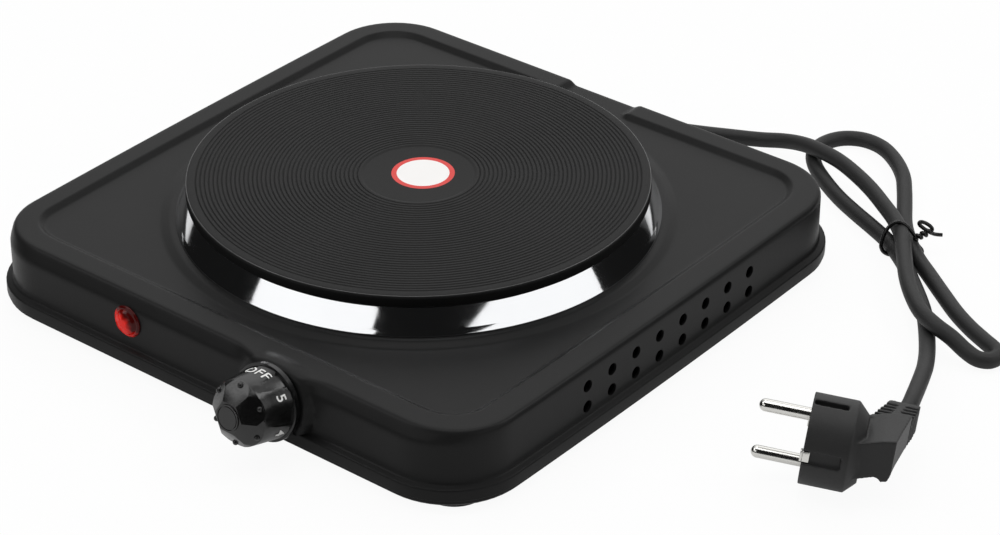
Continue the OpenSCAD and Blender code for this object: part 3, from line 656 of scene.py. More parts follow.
    @classmethod
    def soften(cls, piece: Piece, width_mm: float, angle: float) -> None:
        """Rounds a piece's sharp edges and shades its faces smoothly.

        Args:
            piece: The piece.
            width_mm: How far each sharp edge is cut back.
            angle: How sharp an edge has to be, in degrees.
        """
        limits = {"limit_method": "ANGLE", "angle_limit": math.radians(angle)}
        cls.finish_with(piece, "BEVEL", width=width_mm * MM, segments=2, **limits)
        cls.shade(piece, angle)

    @classmethod
    def shade(cls, piece: Piece, angle: float) -> None:
        """Shades a piece smoothly, but for edges sharper than an angle in degrees."""
        cls.pick(piece)
        bpy.ops.object.shade_smooth_by_angle(angle=math.radians(angle))

    @classmethod
    def cut(cls, piece: Piece, tools: Sequence[Piece]) -> None:
        """Cuts the shapes of some tools out of a piece, and removes the tools.

        Args:
            piece: The piece.
            tools: The shapes to cut away.
        """
        cutter = cls.join(tools)
        cls.finish_with(piece, "BOOLEAN", object=cutter, operation="DIFFERENCE", solver="EXACT")
        bpy.data.objects.remove(cutter, do_unlink=True)

    @classmethod
    def pin(cls, at: Matrix, radius: float, low: float, high: float, spans: int = 32) -> Piece:
        """A plain round tool for cutting holes, along local +Z from low to high."""
        return cls.lathe("tool", [(0, low), (radius, low), (radius, high), (0, high)], at, spans)


# ---- The frame that all pieces share ----


@dataclass(frozen=True)
class Body:
    """Sizes of the whole body, in millimetres, and the places that pieces are set at."""

    wall: float = 123.5
    corner_r: float = 29.5
    rim_z: float = 32.0
    panel_z: float = 30.2
    plinth_z: float = 31.4
    control_x: float = 35.3
    control_z: float = 18.9
    control_lean: float = 10.0
    lamp_x: float = 41.5
    lamp_z: float = 21.7
    outlet_x: float = 30.0
    outlet_z: float = 17.0

    def place(self, x: float, y: float, z: float, tilt: float = 0.0) -> Matrix:
        """A place measured from the body's middle, whose local +Z is tilted toward the front."""
        return Matrix.Translation((x, BODY_Y + y, z)) @ Matrix.Rotation(math.radians(tilt), 4, "X")

    def middle(self) -> Matrix:
        """The upright axis through the plate's middle."""
        return self.place(0, 0, 0)

    def control(self) -> Matrix:
        """Local +Z runs out along the control's shaft, and +Y runs up."""
        return self.place(self.control_x, -self.wall, self.control_z, 90 - self.control_lean)

    def lamp(self) -> Matrix:
        """Local +Z runs out of the front wall along the lamp's axis."""
        return self.place(-self.lamp_x, -self.wall, self.lamp_z, 90)

    def outlet(self) -> Matrix:
        """Local +Z runs out of the back wall along the cord's outlet."""
        return self.place(-self.outlet_x, self.wall, self.outlet_z, -90)


@dataclass
class Assembly:
    """What every sub-assembly needs: the frame's nodes, the finishes and the shared sizes."""

    nodes: dict[str, Piece]
    paints: Paints
    body: Body = field(default_factory=Body)

    def own(self, piece: Piece, body: str, coat: Coat | None, *replaced: str) -> Piece:
        """Settles a new piece.

        Args:
            piece: The new piece, in its place.
            body: The CAD body that it moves with.
            coat: Its finish, or None where it has its materials already.
            *replaced: The CAD nodes that it stands for.

        Returns:
            The same piece.
        """
        if coat is not None:
            self.paints.put(piece, coat)
        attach(piece, body)
        if replaced:
            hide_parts(*replaced)
        LOG.info("%s rides on %s, replaces %s", piece.name, body, ", ".join(replaced) or "nothing")
        return piece


# ---- Studio ----


@dataclass
class Studio:
    """The white floor, the soft lights and the camera."""

    eye: Point = (0.70792, -0.81347, 0.66795)
    aim: Point = (0.02217, 0.034866, 0.0)
    lens_mm: float = 113.427
    # How much the floor glows by itself, seen in a reflection and seen by the camera
    floor_glow: Pair = (0.42, 0.94)
    # Where the room is brightest, and its strengths away from there and there
    room_toward: Point = (-0.46, 0.72, 0.52)
    room_light: Pair = (0.008, 1.3)

    def camera(self) -> None:
        """Sets the camera up."""
        bpy.ops.object.camera_add(location=self.eye)
        camera = bpy.context.object
        camera.name = "studio_camera"
        camera.rotation_euler = (Vector(self.aim) - Vector(self.eye)).to_track_quat("-Z", "Y").to_euler()
        camera.data.lens = self.lens_mm
        camera.data.sensor_width = 36.0
        camera.data.sensor_fit = "HORIZONTAL"
        camera.data.clip_start = 0.05
        camera.data.clip_end = 30.0
        bpy.context.scene.camera = camera

    def floor(self) -> None:
        """Lays the white floor, which keeps the object's soft shadow."""
        bpy.ops.mesh.primitive_plane_add(size=12.0, location=(0, 0, -0.0002))
        floor = bpy.context.object
        floor.name = "studio_floor"
        material = bpy.data.materials.new("white_backdrop")
        tree = clear_tree(material)
        rays = add_node(tree, "ShaderNodeLightPath").outputs
        seen = maths(tree, "MAXIMUM", rays["Is Camera Ray"], rays["Is Glossy Ray"])
        seen = maths(tree, "MAXIMUM", seen, rays["Is Transmission Ray"])
        share = mapped(tree, rays["Is Camera Ray"], (0.0, 1.0), self.floor_glow)
        share = maths(tree, "MULTIPLY", seen, share)
        paper = add_node(tree, "ShaderNodeBsdfDiffuse", {"Color": linear("#f4f4f4")}).outputs[0]
        glow = add_node(tree, "ShaderNodeEmission", {"Color": linear("#ffffff"), "Strength": 1.0}).outputs[0]
        mix = add_node(tree, "ShaderNodeMixShader", {0: share, 1: paper, 2: glow})
        add_node(tree, "ShaderNodeOutputMaterial", {"Surface": mix.outputs["Shader"]})
        floor.data.materials.append(material)

    def world(self) -> None:
        """White behind the object, and a dim room that the gloss and the shadows see."""
        world = bpy.data.worlds.new("studio_room")
        bpy.context.scene.world = world
        tree = clear_tree(world)
        rays = add_node(tree, "ShaderNodeLightPath").outputs
        where = add_node(tree, "ShaderNodeTexCoord").outputs["Generated"]
        toward = vector_maths(tree, "DOT_PRODUCT", where, Vector(self.room_toward).normalized())
        room = mapped(tree, toward, (0.62, 1.0), self.room_light)
        dim, white = (
            add_node(tree, "ShaderNodeBackground", {"Color": linear("#ffffff"), "Strength": level}).outputs[0]
            for level in (room, 1.0)
        )
        mix = add_node(tree, "ShaderNodeMixShader", {0: rays["Is Camera Ray"], 1: dim, 2: white})
        add_node(tree, "ShaderNodeOutputWorld", {"Surface": mix.outputs["Shader"]})

    def softbox(self, name: str, at: Point, aim: Point, size: Pair, power: float) -> None:
        """Hangs a soft light.

        Args:
            name: The light's name.
            at: Its place, in metres.
            aim: The point that it faces.
            size: Its width and height.
            power: Its power in watts.
        """
        bpy.ops.object.light_add(type="AREA", location=at)
        light = bpy.context.object
        light.name = name
        light.rotation_euler = (Vector(aim) - Vector(at)).to_track_quat("-Z", "Y").to_euler()
        light.data.shape = "RECTANGLE"
        light.data.size, light.data.size_y = size
        light.data.energy = power

    def build(self) -> None:
        """Sets up the whole studio."""
        self.floor()
        self.world()
        self.softbox("back_softbox", (-0.9, 1.3, 1.6), (0, 0, 0), (1.4, 0.8), 1.5)
        self.softbox("top_softbox", (-0.05, 0.0, 1.7), (0, 0, 0), (1.2, 1.2), 11)
        self.softbox("left_softbox", (-0.425, -1.84, 1.14), (0, 0, 0.03), (2.1, 0.95), 8)
        self.softbox("right_softbox", (1.94, 0.24, 1.0), (0, 0, 0.03), (2.5, 0.95), 9.4)
        self.softbox("high_softbox", (-0.9, -0.63, 1.3), (0, 0, 0.03), (0.8, 0.6), 5)
        self.softbox("side_softbox", (0.73, 0.87, 1.26), (0, 0, 0.03), (0.7, 0.5), 5)
        bpy.context.scene.view_settings.view_transform = "Standard"


# ---- Cord, tie and plug ----


# How high the cord's middle line lies where the cord rests on the floor, in millimetres
FLOOR_Z = 3.35
# The cord's middle line from the clamp inside the casing to the plug, in millimetres from the body's middle.
# A point without a height rests on the floor.
CORD_ROUTE = (
    (-30, 97, 17), (-30, 109, 17), (-30, 122, 17), (-30, 130, 17), (-29.8, 136.5, 14.6), (-28.5, 141.5, 10.2),
    (-25, 146, 6.2), (-18.5, 149, 4), (-9, 151), (0, 153), (9, 155.6), (21, 160.4), (34, 166.6), (47, 171.8, 4),
    (58, 173.6, 6.4), (68, 172.4, 9), (77.8, 170.6, 10.3), (89.7, 168.2, 10.3), (101.7, 163.2, 10.2),
    (113.5, 156.9, 10), (124.8, 149.4, 9.8), (135, 142, 9.7), (143.8, 133.3, 9.7), (152.5, 121.4, 10),
    (162.1, 108.1, 10.4), (171.3, 97.5, 10.5), (181.4, 88.5, 10.4), (190.6, 84.2, 9.9), (198.8, 83.2, 8),
    (206, 82.2, 5.4), (211.5, 82.2, 3.9), (215.5, 84.8), (216.3, 89.2), (213, 92.6), (206.5, 95.6), (197.5, 99.9),
    (187, 106.2), (175, 115), (163.3, 123.8), (154.8, 130.1), (148.3, 135.9), (141.3, 142.9), (133.6, 152.2),
    (126, 164), (119.5, 174), (112, 184.5), (102.5, 193.5), (92, 199.8), (82, 200.8), (74, 196.4), (70, 188),
    (71, 178), (78, 168.6), (89, 160), (101, 152.4), (113, 146.4), (124.5, 141.2), (134.8, 136.2), (143, 130.8),
    (152, 123.6), (161, 115), (171.5, 104.5), (179, 96), (186.4, 85.8), (195, 72.2, 5.3), (201.6, 60.2, 7.8),
    (206, 50.7, 9.8), (209.4, 42.5, 11), (212.4, 35, 12), (214.9, 28.4, 12.6), (216.6, 22.5, 12.6),
    (218.2, 17.6, 12.4),
)


@dataclass
class MainsLead(Assembly):
    """The cord from the back wall to the plug, its tie and its bush."""

    diameter: float = 6.6
    tie_at: Pair = (143.5, 132.5)
    tie_across: Pair = (0.714, 0.7)
    tie_lean: float = 0.36
    tie_wire: float = 0.8
    tie_loop: tuple[Pair, ...] = (
        (6.9, 7.4), (6.9, 6.2), (8.3, 4.0), (9.7, 2.2), (9.0, 0.95), (3, 0.95), (-3, 1.0), (-6, 2.2), (-7.2, 4.3),
        (-6.8, 6.6), (-5.9, 9), (-4.2, 11.6), (-1.8, 13.4), (0.8, 13.6), (3, 12.4), (4.9, 10.5), (6.4, 8.6), (7.2, 7.4),
    )
    tie_tail: tuple[Pair, ...] = (
        (6.8, 6.8), (9.5, 8.3), (12.2, 9.4), (14.0, 9.9), (13.4, 11.3), (11.2, 12.8), (9.2, 13.3), (8.7, 12.4),
        (10.3, 10.9), (12.4, 9.5), (14.6, 8.4), (16.4, 8.0), (18.2, 7.8),
    )
    plug_at: Point = (201.1, BODY_Y - 20.4, 17.6)
    plug_turn: Point = (-9.0, 6.0, 27.0)
    melt_mm: float = 0.4
    sleeve_mm: float = 24.0
    sleeve_r: Pair = (5.9, 3.8)
    rib_mm: float = 3.2
    # The sleeve follows the route where it lies this far to the left and no further back
    sleeve_within: Pair = (-18.0, 161.0)

    def route(self, steps: int) -> list[Vector]:
        """The cord's middle line, in the frame, with a number of spans between its points."""
        route = [(*spot, FLOOR_Z)[:3] for spot in CORD_ROUTE]
        return [point + Vector((0, BODY_Y, 0)) for point in catmull(route, steps)]

    def cord(self, on_it: list[Piece]) -> None:
        """Args:
            on_it: The pieces on the cord. Not used.
        """
        path = self.route(5)
        cord = Modeller.tube("mains_cord", path, lambda gone: self.diameter / 2, 28)
        self.own(cord, "appliance", Coat.PVC, "power_cord")

    def sleeve(self) -> Piece:
        """Moulds the ribbed, tapered sleeve that keeps the cord from kinking at the wall.

        Returns:
            The sleeve.
        """
        wall = self.body.wall + BODY_Y + 2.0
        left, back = self.sleeve_within
        path = [p for p in self.route(16) if wall < p.y < back and p.x < left]

        def radius(gone: float) -> float:
            """The sleeve's radius at a distance from the wall: a taper with round ribs.

            Args:
                gone: Millimetres from the wall.

            Returns:
                The radius there.
            """
            start, end = self.sleeve_r
            taper = start - (start - end) * min(1.0, gone / self.sleeve_mm)
            ribbed = 5.0 < gone < self.sleeve_mm - 2
            return taper - (0.35 * max(0.0, math.sin(2 * math.pi * gone / self.rib_mm)) if ribbed else 0.0)

        kept, gone = [path[0]], 0.0
        for a, b in zip(path, path[1:]):
            gone += (b - a).length
            if gone > self.sleeve_mm:
                break
            kept.append(b)
        return self.own(Modeller.tube("bush_sleeve", kept, radius, 32), "appliance", Coat.PLUG_PVC)

    def tie_point(self, across: float, up: float) -> Point:
        """A point of the tie's leaning plane: level across the strands, and up.

        Args:
            across: Millimetres across the strands.
            up: The height.

        Returns:
            The point, in the frame.
        """
        (x, y), (along_x, along_y) = self.tie_at, self.tie_across
        back = self.tie_lean * up
        return x + across * along_x - back * along_y, y + across * along_y + back * along_x + BODY_Y, up

    def tie(self) -> Piece:
        """Winds the wire tie: one loop round the strands, a twisted neck and a curled end.

        Returns:
            The tie.
        """
        loop = catmull([self.tie_point(*spot) for spot in self.tie_loop], 5)
        tail = catmull([self.tie_point(*spot) for spot in self.tie_tail], 6)
        neck = [tail[0].lerp(tail[15], k / 24) for k in range(25)]
        along = (neck[-1] - neck[0]).normalized()
        side = along.cross(Vector((0, 0, 1))).normalized()
        above = along.cross(side)
        turns = [k / 24 * 6.4 * math.pi for k in range(25)]
        twist = [spot + (side * math.cos(turn) + above * math.sin(turn)) * 0.95 for spot, turn in zip(neck, turns)]
        strands = [
            Modeller.tube(name, path, lambda gone: self.tie_wire, 16)
            for name, path in (("wire_tie", loop), ("wire_tail", tail), ("wire_twist", twist))
        ]
        tie = self.own(Modeller.join(strands), "appliance", Coat.TIE, "twist_tie")
        return tie

    def finger_groove(self) -> Piece:
        """The tool for the long recess moulded near the top of the plug's round body.

        Returns:
            The tool.
        """
        Modeller.deselect()
        bpy.ops.mesh.primitive_cube_add(size=1.0, location=(0, 0, 0))
        tool = bpy.context.object
        at = self.plug_frame() @ Matrix.Rotation(math.radians(12), 4, "X") @ Matrix.Translation((7.0, 0.0, 16.4))
        for vert in tool.data.vertices:
            vert.co = (at @ Vector((vert.co.x * 12.4, vert.co.y * 2.8, vert.co.z * 4.2))) * MM
        return tool

    def plug(self) -> Piece:
        """Melts the hard edges of the plug's solid, as a soft moulding has them.

        Returns:
            The plug.
        """
        plug = Modeller.copy_solid(self.nodes["plug_body"], "moulded_plug")
        Modeller.cut(plug, [self.finger_groove()])
        Modeller.finish_with(plug, "REMESH", mode="VOXEL", voxel_size=self.melt_mm * MM, use_smooth_shade=True)
        Modeller.finish_with(plug, "SMOOTH", factor=0.5, iterations=4)
        Modeller.pick(plug)
        bpy.ops.object.shade_smooth()
        self.own(plug, "appliance", Coat.PLUG_PVC, "plug_body")
        return plug

    def plug_frame(self) -> Matrix:
        """Local +X runs into the plug from its front face, along its axis."""
        turn = Euler([math.radians(t) for t in self.plug_turn]).to_matrix().to_4x4()
        return Matrix.Translation(self.plug_at) @ turn

    def clips(self) -> Piece:
        """Keeps the earth clips' bent front ends, as the rest lies deep in its slots.

        Returns:
            The clips.
        """
        clips = Modeller.copy_solid(self.nodes["plug_clips"], "earth_clips")
        place = self.plug_frame()
        Modeller.edit(clips)
        bpy.ops.mesh.bisect(
            plane_co=(place @ Vector((2.6, 0, 0))) * MM,
            plane_no=place.to_3x3() @ Vector((1, 0, 0)),
            clear_outer=True,
            use_fill=True,
        )
        bpy.ops.object.mode_set(mode="OBJECT")
        Modeller.soften(clips, 0.15, 30)
        self.own(clips, "appliance", Coat.NICKEL, "plug_clips")
        return clips

    def build(self) -> None:
        """Builds the lead."""
        self.cord([self.plug(), self.nodes["plug_pins"], self.clips(), self.tie()])
        self.sleeve()
        self.paints.put(self.nodes["cord_bush"], Coat.PLUG_PVC)
        self.paints.put(self.nodes["plug_pins"], Coat.NICKEL)


# ---- Casing ----


@dataclass
class Casing(Assembly):
    """The pressed steel casing with its skirt, rim, panel, plinth, boss and holes.

    The sides are numbered front, right, back and left.
    """

    skirt: float = 3.0
    skirt_gap: float = 2.2
    skirt_top: float = 9.4
    seam_z: float = 4.5
    rim_w: float = 13.7
    slope_end: float = 16.3
    plinth_foot: float = 105.0
    plinth_r: float = 103.2
    plinth_top_r: float = 99.4
    opening_r: float = 84.0
    boss_r: float = 17.5
    boss_out: float = 3.2
    boss_brow: float = 1.5
    # How far from the knob, and from what height to what height, the brow over the pad fades
    brow_near: Pair = (3.0, 14.0)
    brow_z: Pair = (24.0, 31.5)
    # Half the length of the dip for the cord, at its foot and at its top
    dip: Pair = (15.2, 19.2)
    # How far the front's top edge is rolled in, between what heights, and how far from the knob
    front_roll: float = 2.8
    roll_z: Pair = (26.5, 31.5)
    roll_apart: Pair = (9.0, 24.0)
    # How far the step from rim to panel moves outwards on each side, and how far each wall bows
    rim_shift: tuple[float, ...] = (0.0, 1.8, 3.6, 3.8)
    bow: tuple[float, ...] = (0.0, 0.9, 0.0, 0.8)
    steel: float = 1.0
    vent_count: int = 8
    vent_pitch: float = 14.8
    vent_shift: float = 1.1
    vent_z: float = 14.4
    vent_rise: float = 9.0
    vent_r: float = 2.5
    shaft_hole_r: float = 5.0
    screw_out: float = 10.5
    screw_hole_r: float = 1.8
    lamp_hole_r: float = 6.25
    outlet_hole_r: float = 6.15

    def columns(self) -> list[tuple[int, float]]:
        """Where each column stands on the outline: a side's number with the place along it, or a corner's turn.

        Returns:
            Pairs of a number and a value: 0 to 3 for a side, with millimetres along it, and 4 to 7
            for the corner after it, with the turn from 0 to 1.
        """
        straight = self.body.wall - self.body.corner_r
        out: list[tuple[int, float]] = []
        for side in range(4):
            marks = [k * 4.0 - straight for k in range(int(2 * straight // 4) + 1)]
            dense = {0: (12.0, 58.0), 2: (-22.0, 22.0)}.get(side)
            if dense:
                marks = [m for m in marks if not dense[0] < m < dense[1]]
                marks += [dense[0] + k for k in range(int(dense[1] - dense[0]) + 1)]
            marks = sorted({round(m, 3) for m in [*marks, straight]})
            out += [(side, m) for m in marks]
            out += [(side + 4, k / 14) for k in range(1, 14)]
        return out

    def outline(self, out: float, column: tuple[int, float]) -> Vector:
        """A point of the rounded outline.

        Args:
            out: How far the outline lies outside the wall's face.
            column: The column, as columns() gives it.

        Returns:
            The point, flat.
        """
        straight = self.body.wall - self.body.corner_r
        number, value = column
        turn = Matrix.Rotation(math.radians(90 * (number % 4)), 2)
        deep = smoothstep(3.2, 12.5, -out)
        if number < 4:
            out += self.rim_shift[number] * deep + self.bow[number] * (1 - (value / straight) ** 2)
            return turn @ Vector((value, -self.body.wall - out))
        here, after = self.rim_shift[number - 4], self.rim_shift[(number - 3) % 4]
        out += (here + (after - here) * smoothstep(0.0, 1.0, value)) * deep
        angle = math.radians(-90 + 90 * value)
        way = Vector((math.cos(angle), math.sin(angle)))
        return turn @ (Vector((straight, -straight)) + way * (self.body.corner_r + out))

    def edge(self) -> list[Pair]:
        """The section of the edge: distance outside the wall's face, and height.

        Returns:
            For each point, its distance outside the wall's face and its height.
        """
        profile = [
            (self.skirt - 1.6, self.skirt_gap),
            (self.skirt - 0.5, self.skirt_gap + 1.1, 0.8),
            (self.skirt - 0.5, self.seam_z),
            (self.skirt, self.seam_z + 0.4, 0.2),
            (self.skirt, self.skirt_top, 0.9),
            (0.0, self.skirt_top + 1.0, 1.3),
            (0.0, self.body.rim_z, 2.2),
            (-self.rim_w, self.body.rim_z, 2.2),
            (-self.slope_end, self.body.panel_z, 2.4),
            (-self.slope_end - 2.0, self.body.panel_z),
        ]
        points = filleted(profile, 6)
        dense: list[Pair] = []
        for a, b in zip(points, points[1:]):
            parts = max(1, int(math.hypot(b[0] - a[0], b[1] - a[1]) / 1.3))
            dense += [(a[0] + (b[0] - a[0]) * k / parts, a[1] + (b[1] - a[1]) * k / parts) for k in range(parts)]
        return [*dense, points[-1]]

    def boss_lift(self, x: float, z: float) -> float:
        """How far the round pad behind the knob stands out of the front wall.

        Args:
            x: The place along the wall.
            z: The height.

        Returns:
            Millimetres outwards.
        """
        up = z - self.body.control_z
        share = 1 - smoothstep(self.boss_r - 1.3, self.boss_r + 1.1, math.hypot(x - self.body.control_x, up))
        return share * (self.boss_out - up * math.tan(math.radians(self.body.control_lean)))

    def roll(self, column: tuple[int, float], out: float, z: float) -> float:
        """How far the front's top edge is rolled inwards, away from the knob's pad.

        Args:
            column: The column, as columns() gives it.
            out: Millimetres outside the wall's face.
            z: The height.

        Returns:
            Millimetres inwards.
        """
        number, value = column
        share = {4: 1 - smoothstep(0.0, 1.0, value), 7: smoothstep(0.0, 1.0, value)}.get(number, 0.0)
        if number == 0:
            share = smoothstep(*self.roll_apart, abs(value - self.body.control_x))
        return self.front_roll * share * smoothstep(*self.roll_z, z) * smoothstep(-self.rim_w, -2.0, out)

    def pressed(self, column: tuple[int, float], out: float, z: float) -> Pair:
        """How far the knob's pad and the cord's dip move a point of the section: outwards, and down.

        Args:
            column: The column, as columns() gives it.
            out: Millimetres outside the wall's face.
            z: The height.

        Returns:
            Millimetres outwards, and millimetres down.
        """
        number, along = column
        body = self.body
        if number == 0 and self.skirt_top < z and out < 0.5:
            lift = self.boss_lift(along, z) * smoothstep(-6.0, -2.0, out) * smoothstep(8.9, 10.2, z)
            near = 1 - smoothstep(*self.brow_near, abs(along - body.control_x))
            return lift, -self.boss_brow * near * smoothstep(-8.5, -3.2, out) * smoothstep(*self.brow_z, z)
        if number != 2:
            return 0.0, 0.0
        deep = body.rim_z - body.panel_z
        share = 1 - smoothstep(*self.dip, abs(along))
        drop = deep * share * smoothstep(20.0, 31.9, z) * smoothstep(0, deep, z - body.panel_z + deep)
        return 0.0, min(drop, max(0.0, z - body.panel_z)) if out < -10 else drop

    def shell(self) -> Piece:
        """Models the sheet's outer face and gives it its thickness.

        Returns:
            The shell, before its holes are cut.
        """
        columns = self.columns()
        rings: list[Ring] = []
        for out, z in self.edge():
            ring = []
            for column in columns:
                lift, drop = self.pressed(column, out, z)
                spot = self.outline(out + lift - self.roll(column, out, z), column)
                ring.append(Vector((spot.x, spot.y + BODY_Y, z - drop)))
            rings.append(ring)
        middle = Vector((0, BODY_Y, 0))
        flat = [(point - middle).to_2d() for point in rings[-1]]
        for share in (0.25, 0.5, 0.75):
            inner = [point.lerp(point.normalized() * self.plinth_foot, share) for point in flat]
            rings.append([Vector((*point, self.body.panel_z)) + middle for point in inner])
        plinth = filleted(
            [
                (self.plinth_foot, self.body.panel_z),
                (self.plinth_r, self.body.panel_z, 6.0),
                (self.plinth_top_r, self.body.plinth_z, 6.0),
                (self.opening_r + 4, self.body.plinth_z),
                (self.opening_r, self.body.plinth_z),
            ],
            6,
        )
        for radius, z in plinth:
            rings.append([Vector((*(point.normalized() * radius), z)) + middle for point in flat])
        shell = Modeller.loft("pressed_casing", rings, close=False)
        Modeller.finish_with(shell, "SOLIDIFY", thickness=self.steel * MM, offset=-1.0, use_even_offset=True)
        return shell

    def tools(self) -> list[Piece]:
        """The round tools that cut every hole in the casing.

        Returns:
            The tools.
        """
        body, made = self.body, []
        turn = Matrix.Rotation(math.radians(90), 4, "Y")
        for side in (-1, 1):
            for row in (0, 1):
                for i in range(self.vent_count):
                    along = (i - (self.vent_count - 1) / 2) * self.vent_pitch + self.vent_shift
                    place = body.place(side * body.wall, along, self.vent_z + row * self.vent_rise) @ turn
                    made.append(Modeller.pin(place, self.vent_r, -3, 3, 28))
        made.append(Modeller.pin(body.control(), self.shaft_hole_r, -3, 10))
        for x in (-self.screw_out, self.screw_out):
            place = body.control() @ Matrix.Translation((x, 0, 0))
            made.append(Modeller.pin(place, self.screw_hole_r, -3, 10, 20))
        made.append(Modeller.pin(body.lamp(), self.lamp_hole_r, -3, 3))
        made.append(Modeller.pin(body.outlet(), self.outlet_hole_r, -4, 4))
        return made

    def build(self) -> None:
        """Builds the casing and dresses the base below it."""
        shell = self.shell()
        Modeller.cut(shell, self.tools())
        Modeller.shade(shell, 35)
        self.own(shell, "appliance", Coat.POWDER_BLACK, "housing")
        self.paints.put(self.nodes["base_cover"], Coat.BASE_BLACK)


# ---- Plate ----


@dataclass
class Plate(Assembly):
    """The cast iron plate, its chrome ring and its label."""

    radius: float = 92.5
    top: float = 46.8
    rim_t: float = 5.0
    block_r: float = 82.0
    block_z: float = 34.0
    groove_pitch: float = 1.73
    groove_depth: float = 0.3
    groove_w: float = 0.84
    groove_from: float = 24.0
    groove_to: float = 89.0
    flare_r: float = 95.6
    foot_r: float = 97.0
    sheet: float = 0.8

    def iron(self) -> Piece:
        """Turns the plate with its fine concentric grooves.

        Returns:
            The plate.
        """
        dish = ((0, 0.35), (22.0, 0.35), (22.4, 0.33), (23.0, 0.02), (23.4, 0.0))
        top = [(radius, self.top - depth) for radius, depth in dish]
        radius = self.groove_from
        while radius < self.groove_to:
            top += [
                (radius, self.top),
                (radius + self.groove_w / 2, self.top - self.groove_depth),
                (radius + self.groove_w, self.top),
            ]
            radius += self.groove_pitch
        edge = filleted(
            [
                (radius, self.top),
                (self.radius, self.top, 0.9),
                (self.radius, self.top - self.rim_t, 0.5),
                (self.block_r, self.top - self.rim_t, 1.0),
                (self.block_r, self.block_z, 0.6),
                (30.0, self.block_z),
                (30.0, self.top - self.rim_t),
                (0.0, self.top - self.rim_t),
            ],
            5,
        )
        return Modeller.lathe("turned_plate", [*top, *edge], self.body.middle(), 224)

    def corner(self) -> Piece:
        """Turns the thin lighter line on the plate's outer corner, a painted highlight.

        Returns:
            The line, as a thin piece.
        """
        circle = unit_circle(8)
        line = [(self.radius - 0.38 + 0.22 * x, self.top - 0.3 + 0.22 * y) for x, y in [*circle, circle[0]]]
        return Modeller.lathe("plate_corner_highlight", line, self.body.middle(), 224, tail=True)

    def ring(self) -> Piece:
        """Spins the flared spill ring as one polished sheet with a rolled foot.

        Returns:
            The ring.
        """
        high, low = self.top - self.rim_t - 0.3, self.body.plinth_z + 0.05
        start, neck, flare, foot = self.block_r + 2.5, self.radius - 2.1, self.flare_r, self.foot_r
        outer = [
            (start, high),
            (neck, high, 1.2),
            (flare, self.body.plinth_z + 2.4, 2.2),
            (foot, low + 0.5, 0.6),
            (foot - 0.1, low, 0.1),
            (foot - 0.9, low, 0.1),
            (flare - 1.1, self.body.plinth_z + 1.9, 1.4),
            (neck - 0.9, high - self.sheet, 0.6),
            (start, high - self.sheet),
            (start, high),
        ]
        return Modeller.lathe("chrome_spill_ring", filleted(outer, 6), self.body.middle(), 256, tail=True)

    def build(self) -> None:
        """Builds the plate and dresses its small parts."""
        iron = self.own(self.iron(), "appliance", Coat.PLATE_IRON, "hot_plate")
        Modeller.shade(iron, 30)
        # The thin lighter line on the plate's corner is a painted highlight
        self.own(self.corner(), "appliance", Coat.PLATE_CORNER)
        ring = self.own(self.ring(), "appliance", Coat.CHROME, "spill_ring")
        self.paints.put(self.nodes["centre_label"], Coat.LABEL)


# ---- Control and lamp ----


